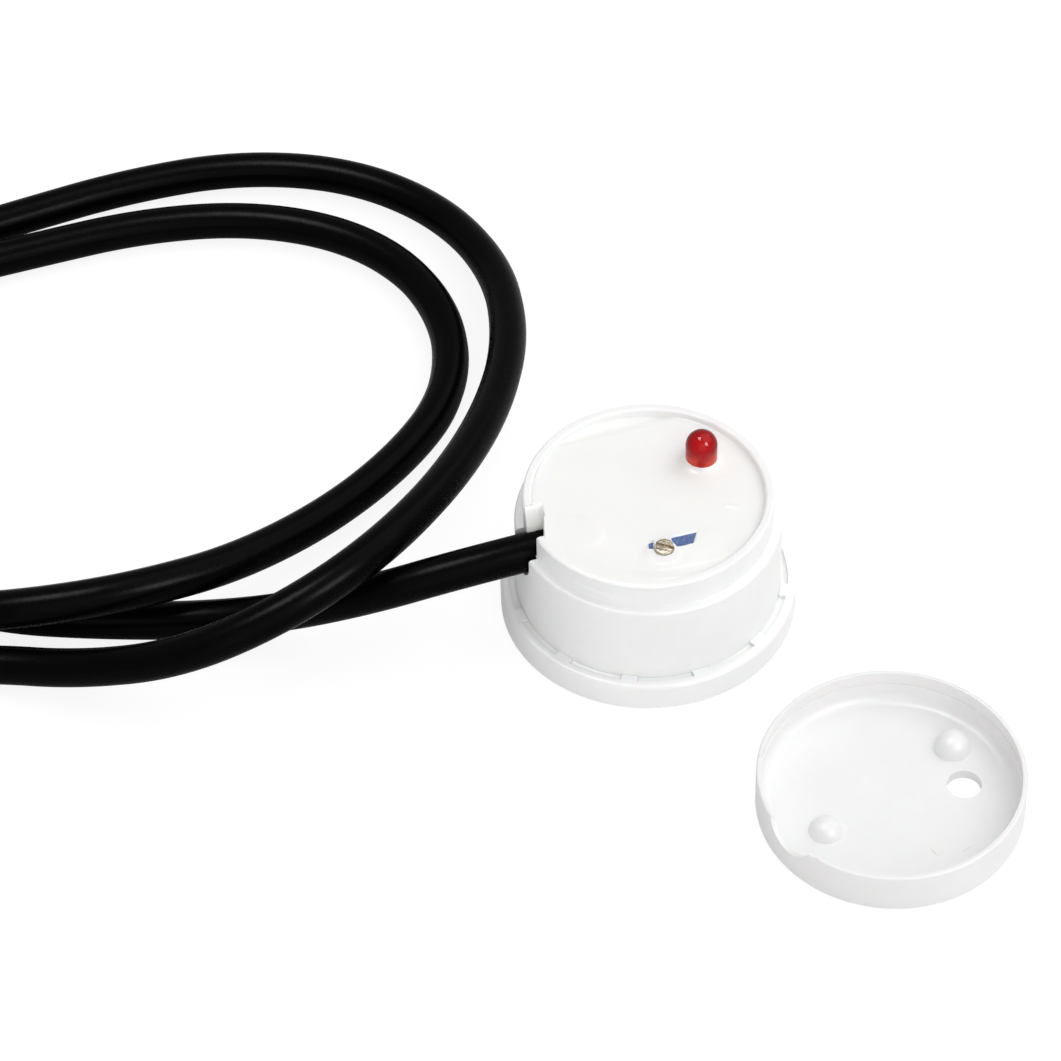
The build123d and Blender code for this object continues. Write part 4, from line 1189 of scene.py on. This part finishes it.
@dataclass
class AdjustingScrew:
    """The trimmer's screw: a slotted head with cut ribs over a threaded shank.

    Attributes:
        shank_foot: Height of the shank's lower end.
        shank_top: Height where the shank narrows to the neck.
        head_foot: Height of the head's underside.
        head_top: Height of the head's top.
        head_radius: Radius of the head.
        neck_radius: Radius between thread and head.
        crest_radius: Outer radius of the thread.
        root_radius: Radius of the shank under the thread.
        pitch: Pitch of the thread.
        flank: Half the height of its ridge, as a share of the pitch.
        thread_gap: Height of the plain shank under the thread.
        slot_angle: Direction of the slot in plan.
        slot_width: Width of the slot.
        slot_depth: Depth of the slot.
        rib_depth: Depth of the cuts between the ribs.
        ribs: Start and end of each rib, as distances behind the slot's middle line.
        edge: Size of the rounded edge of the ribs, and of the shank's foot.
        edge_corner: How far the rounding cuts into the corner, as a share of that size.
        bevel: Bevel of the head's lower edge, and depth of the thread's root in the shank.
        laps: How far the head's halves and the ribs reach into what is below them.
        steps: Number of faces round the shank and the head.
        thread_steps: Number of faces in a turn of the thread.
    """

    shank_foot: float = 7.95
    shank_top: float = 13.1
    head_foot: float = 13.62
    head_top: float = 14.75
    head_radius: float = 0.89
    neck_radius: float = 0.55
    crest_radius: float = 0.7
    root_radius: float = 0.54
    pitch: float = 0.65
    flank: float = 0.36
    thread_gap: float = 0.15
    slot_angle: float = -22.0
    slot_width: float = 0.35
    slot_depth: float = 0.4
    rib_depth: float = 0.14
    ribs: Sequence[Pair] = ((0.175, 0.4), (0.5, 0.66), (0.75, 0.95), (-0.5, -0.175),
                            (-0.95, -0.6))
    edge: float = 0.1
    edge_corner: float = 0.3
    bevel: float = 0.06
    laps: Pair = (0.02, 0.05)
    steps: int = 48
    thread_steps: int = 28

    def slab(self, low: float, high: float, floor: float, top: float) -> Shape:
        """Cuts a slice of the head between two planes along the slot.

        Args:
            low: Distance of its front plane behind the slot's middle line.
            high: Distance of its rear plane.
            floor: Height of its underside.
            top: Height of its top.

        Returns:
            The closed slice.
        """
        corner = self.edge_corner * self.edge
        profile = [(0.0, floor), (self.head_radius, floor), (self.head_radius, top - self.edge),
                   (self.head_radius - corner, top - corner), (self.head_radius - self.edge, top),
                   (0.0, top)]
        shape = spun(profile, (*SCREW_AT, 0.0), self.steps)
        behind = around(1.0, self.slot_angle + 90.0)
        middle = Vector((*SCREW_AT, 0.0))
        if high < self.head_radius:
            cut_away(shape, (middle + behind * high) * MM, behind)
        if low > -self.head_radius:
            cut_away(shape, (middle + behind * low) * MM, -behind)
        return shape

    def thread(self) -> Shape:
        """Winds a three-sided ridge round the shank.

        Returns:
            The closed ridge, in metres.
        """
        shape = bmesh.new()
        start = self.shank_foot + self.thread_gap
        turns = int((self.shank_top - start) / self.pitch)
        flank = self.flank * self.pitch
        root = self.root_radius - self.bevel
        corners = ((root, start), (self.crest_radius, start + flank), (root, start + 2 * flank))
        centre = Vector((*SCREW_AT, 0.0)) * MM
        first = shape.faces.new([shape.verts.new(centre + Vector((r, 0, z)) * MM)
                                 for r, z in corners])
        bmesh.ops.spin(shape, geom=[first], cent=centre, axis=(0, 0, 1),
                       angle=2 * math.pi * turns, steps=self.thread_steps * turns,
                       dvec=(0, 0, self.pitch / self.thread_steps * MM), use_duplicate=False)
        close_up(shape)
        return shape

    def build(self) -> None:
        """Puts shank, thread, head and ribs together."""
        slot_floor = self.head_top - self.slot_depth
        rib_floor = self.head_top - self.rib_depth
        half = self.slot_width / 2
        head_lap, rib_lap = self.laps
        shape = spun([(0.0, self.shank_foot), (self.root_radius - self.edge, self.shank_foot),
                      (self.root_radius, self.shank_foot + self.edge),
                      (self.root_radius, self.shank_top - head_lap),
                      (self.neck_radius, self.shank_top), (self.neck_radius, self.head_foot),
                      (self.head_radius - self.bevel, self.head_foot),
                      (self.head_radius, self.head_foot + self.bevel),
                      (self.head_radius, slot_floor), (0.0, slot_floor)],
                     (*SCREW_AT, 0.0), self.steps)
        for low, high in ((half, 1.0), (-1.0, -half)):
            add_shell(shape, self.slab(low, high, slot_floor - head_lap, rib_floor))
        for low, high in self.ribs:
            add_shell(shape, self.slab(low, high, rib_floor - rib_lap, self.head_top))
        add_shell(shape, self.thread())
        make_piece("adjusting_screw", shape, TURNED_BRASS, Body.SCREW,
                   ["trimmer_screw"])


@dataclass
class CapMarks:
    """What the mould left on the cap: two witness lines of ejector pins and the gate's stub.

    Attributes:
        cap_at: The cap's axis in plan.
        marks: Radius, angle, height, half length, half width and direction of each mark.
    """

    cap_at: Pair = (20.95, -26.09)
    marks: Sequence[tuple[float, float, float, float, float, float]] = (
        (7.4, -62.0, 1.0, 0.55, 0.09, -52.0),
        (8.9, -44.0, 1.02, 0.5, 0.09, 40.0),
        (12.2, -43.0, 3.1, 0.3, 0.09, -40.0),
    )

    def build(self) -> None:
        """Sets a flattened bead at each place."""
        shape = bmesh.new()
        for radius, angle, height, half_length, half_width, turn in self.marks:
            at = Vector((*self.cap_at, 0.0)) + around(radius, angle, height)
            size = Matrix.Diagonal((half_length * MM, half_width * MM, half_width * MM, 1.0))
            turned = Matrix.Rotation(math.radians(turn), 4, "Z")
            bmesh.ops.create_uvsphere(shape, u_segments=20, v_segments=12, radius=1.0,
                                      matrix=Matrix.Translation(at * MM) @ turned @ size)
        make_piece("cap_marks", shape, CAP_ABS_PAINTED_SHADE, Body.CAP)


@dataclass
class Core:
    """One of the cable's four cores.

    Attributes:
        name: Its colour.
        side: Its side in the jacket, seen along the cable.
        level: 1 in the upper pair, -1 in the lower.
        fan: Angle that it turns away by at the free end.
    """

    name: str
    side: int
    level: int
    fan: float


@dataclass
class Cable:
    """The looped cable: jacket, the four cores at its free end and those inside the puck.

    Attributes:
        diameter: Jacket diameter in millimetres.
        length: Real length of the jacket; not used.
        core_diameter: Diameter of one core.
        core_offset: Half the spacing of the cores in the jacket.
        tip_diameter: Diameter of a tinned end.
        tip_length: Its length.
        tip_turn: Angle that its strands wind through, in degrees.
        tip_taper: Share of its width left at the very end.
        strand_count: Number of strands in a tinned end.
        lobes: Depth of the grooves between strands, as a share of the end's radius.
        tip_faces: Number of faces round a tinned end and along it.
        upper_run: How far an upper core goes on inside the puck before it turns down.
        lower_run: How far a lower one goes on.
        bend: Distances of the bend's points before the turn and under it.
        inner_end: Height where a core ends at the board.
        cores: The four cores.
        runs: Lengths of the runs of a free core, jacket end first.
        falls: Share of the way down to the surface that each run reaches.
        turns: Share of the fan's angle that each run takes.
        route: Points of the jacket's line, puck end first.
    """

    diameter: float = 3.7
    length: float = 502.9
    core_diameter: float = 1.1
    core_offset: float = 0.62
    tip_diameter: float = 0.7
    tip_length: float = 5.0
    tip_turn: float = 420.0
    tip_taper: float = 0.82
    strand_count: int = 7
    lobes: float = 0.16
    tip_faces: tuple[int, int] = (42, 48)
    upper_run: float = 3.7
    lower_run: float = 1.7
    bend: Point = (0.9, 0.2, 1.1)
    inner_end: float = 7.75
    cores: Sequence[Core] = (Core("brown", -1, 1, 24.0), Core("yellow", 1, 1, -10.0),
                             Core("blue", -1, -1, 9.0), Core("black", 1, -1, -26.0))
    runs: Sequence[float] = (5.0, 6.5, 7.0, 6.5)
    falls: Sequence[float] = (0.0, 0.25, 1.0, 1.0)
    turns: Sequence[float] = (0.0, 0.5, 1.0, 0.8)
    route: Sequence[Point] = (
        (-8.5, -2.4, 10.4), (-17.2, -5.0, 10.4), (-26.2, -5.6, 7.6), (-35.0, -4.1, 3.7),
        (-43.6, -3.0, 1.85), (-52.2, -2.6, 1.85), (-61.0, -1.6, 1.85), (-69.4, 1.4, 1.85),
        (-77.0, 6.8, 1.85), (-82.2, 14.6, 1.85), (-84.0, 23.8, 1.85), (-82.2, 33.0, 1.85),
        (-77.2, 40.8, 1.85), (-69.8, 45.8, 1.85), (-61.2, 48.5, 1.85), (-50.5, 51.7, 1.85),
        (-39.4, 52.5, 1.85), (-29.2, 49.7, 1.85), (-21.9, 43.4, 1.85), (-18.2, 34.4, 1.85),
        (-18.9, 24.5, 2.4), (-23.5, 15.9, 3.2), (-30.4, 8.0, 3.9), (-38.8, 1.2, 5.2),
        (-47.2, -3.3, 6.9), (-55.4, -5.0, 6.9), (-64.0, -4.6, 5.6), (-72.8, -1.8, 3.2),
        (-80.9, 4.0, 1.85), (-86.7, 12.8, 1.85), (-88.8, 23.4, 1.85), (-86.9, 34.0, 1.85),
        (-81.4, 43.2, 1.85), (-73.0, 49.5, 1.85), (-63.2, 53.5, 1.85), (-52.2, 57.8, 1.85),
        (-40.6, 60.3, 1.85), (-29.0, 58.8, 1.85), (-19.6, 53.0, 1.85), (-13.8, 43.2, 2.9),
        (-12.3, 31.6, 4.8), (-14.0, 19.6, 7.0), (-18.3, 7.2, 9.9), (-25.2, -4.5, 12.4),
        (-34.2, -10.8, 10.9), (-43.8, -12.4, 7.1), (-53.4, -9.9, 3.2), (-62.4, -7.6, 1.85),
        (-70.8, -7.9, 1.85), (-78.8, -6.2, 1.85), (-85.4, -2.2, 1.85))

    def tube(self, name: str, points: Sequence[Vector], diameter: float, finish: Finish,
             replaces: Sequence[str]) -> bpy.types.Object:
        """Lays a round tube along a smooth line.

        Args:
            name: The piece's name.
            points: Control points of the line in millimetres.
            diameter: The tube's diameter in millimetres.
            finish: Its finish.
            replaces: CAD nodes that it stands for.

        Returns:
            The curve object.
        """
        curve = bpy.data.curves.new(name, "CURVE")
        curve.dimensions = "3D"
        curve.bevel_depth = diameter / 2 * MM
        curve.bevel_resolution = 6
        curve.resolution_u = 10
        curve.use_fill_caps = True
        spline = curve.splines.new("NURBS")
        spline.points.add(len(points) - 1)
        for at, point in zip(spline.points, points):
            at.co = (*Vector(point) * MM, 1.0)
        spline.order_u = 3
        spline.use_endpoint_u = True
        return enlist(name, curve, finish, Body.SENSOR, replaces)

    def in_jacket(self, core: Core, end: Vector, heading: Vector) -> Vector:
        """Gives a core's place at an end of the jacket, along a level heading."""
        aside = Vector((0, 0, 1)).cross(heading) * (core.side * self.core_offset)
        return end - aside + Vector((0, 0, core.level * self.core_offset))

    def free_line(self, core: Core) -> list[Vector]:
        """Leads a free core straight out of the jacket, then fanned out and down.

        Args:
            core: The core.

        Returns:
            Its points in millimetres, jacket end first.
        """
        end = Vector(self.route[-1])
        heading = (end - Vector(self.route[-2])).normalized()
        straight = math.degrees(math.atan2(heading.y, heading.x))
        start = self.in_jacket(core, end, heading)
        fall = start.z - self.core_diameter / 2
        points = [start]
        for run, share, turn in zip(self.runs, self.falls, self.turns):
            place = points[-1] + around(run, straight + core.fan * turn)
            place.z = start.z - fall * share
            points.append(place)
        return points

    def inner_line(self, core: Core) -> list[Vector]:
        """Leads a core inside the puck forward out of the jacket, then down to the board.

        Args:
            core: The core.

        Returns:
            Its points in millimetres, jacket end first.
        """
        mouth = Vector(self.route[0])
        inward = mouth - Vector(self.route[1])
        inward = Vector((inward.x, inward.y, 0)).normalized()
        start = self.in_jacket(core, mouth, inward)
        turn = start + inward * (self.upper_run if core.level > 0 else self.lower_run)
        before, under, lower = self.bend
        return [start, turn - inward * before, turn - Vector((0, 0, under)),
                turn - Vector((0, 0, lower)), Vector((turn.x, turn.y, self.inner_end))]

    def strands(self, at: Vector, heading: Vector) -> Shape:
        """Twists one tinned end: its strands show as lobes running round it.

        Args:
            at: Where it leaves the insulation, in millimetres.
            heading: Its direction.

        Returns:
            The closed bundle, in metres.
        """
        shape = bmesh.new()
        faces_round, steps = self.tip_faces
        bmesh.ops.create_circle(shape, segments=faces_round, radius=1.0)
        for vert in shape.verts:
            angle = math.atan2(vert.co.y, vert.co.x)
            lobe = math.sqrt(abs(math.cos(self.strand_count / 2 * angle)))
            vert.co *= self.tip_diameter / 2 * (1 - self.lobes + self.lobes * lobe)
        swept = bmesh.ops.spin(shape, geom=shape.verts[:] + shape.edges[:], cent=(0, 0, 0),
                               axis=(0, 0, 1), angle=math.radians(self.tip_turn), steps=steps,
                               dvec=(0, 0, self.tip_length / steps))
        for item in swept["geom_last"]:
            if isinstance(item, bmesh.types.BMVert):
                item.co.xy *= self.tip_taper
        close_up(shape)
        turn = heading.to_track_quat("Z", "Y").to_matrix().to_4x4()
        place = Matrix.Translation(at * MM) @ turn @ Matrix.Scale(MM, 4)
        bmesh.ops.transform(shape, matrix=place, verts=shape.verts)
        return shape

    def build(self) -> None:
        """Lays the jacket, its cores and their tinned ends, and logs its points and cores."""
        jacket = self.tube("cable", self.route, self.diameter, EXTRUDED_JACKET,
                           ["cable_jacket"])
        tips = bmesh.new()
        for core in self.cores:
            finish = CORE_FINISHES[core.name]
            line = self.free_line(core)
            self.tube(f"free_{core.name}_core", line, self.core_diameter, finish,
                                  [f"{core.name}_core"])
            self.tube(f"inner_{core.name}_core", self.inner_line(core), self.core_diameter,
                      finish, [f"{core.name}_core_inner"])
            add_shell(tips, self.strands(line[-1], (line[-1] - line[-2]).normalized()))
        ends = make_piece("twisted_ends", tips, DIPPED_TIN, Body.SENSOR,
                          ["tinned_tips"], crease=60.0)
        LOG.info("cable: %d control points, %d cores", len(self.route), len(self.cores))


def dress_nodes() -> None:
    """Gives every CAD node its finish."""
    for finish, names in NODE_FINISHES.items():
        for name in names:
            finish.dress(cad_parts[name])
        LOG.info("%s on %s", finish.name, ", ".join(names))


def main() -> None:
    """Builds the studio and every sub-assembly, in order."""
    logging.basicConfig(level=logging.INFO, format="%(message)s")
    for assembly in (Studio, Cable, CastResin, GlueBead, Indicator, AdjustingScrew, CapMarks):
        assembly().build()
    dress_nodes()


if __name__ == "__main__":
    main()
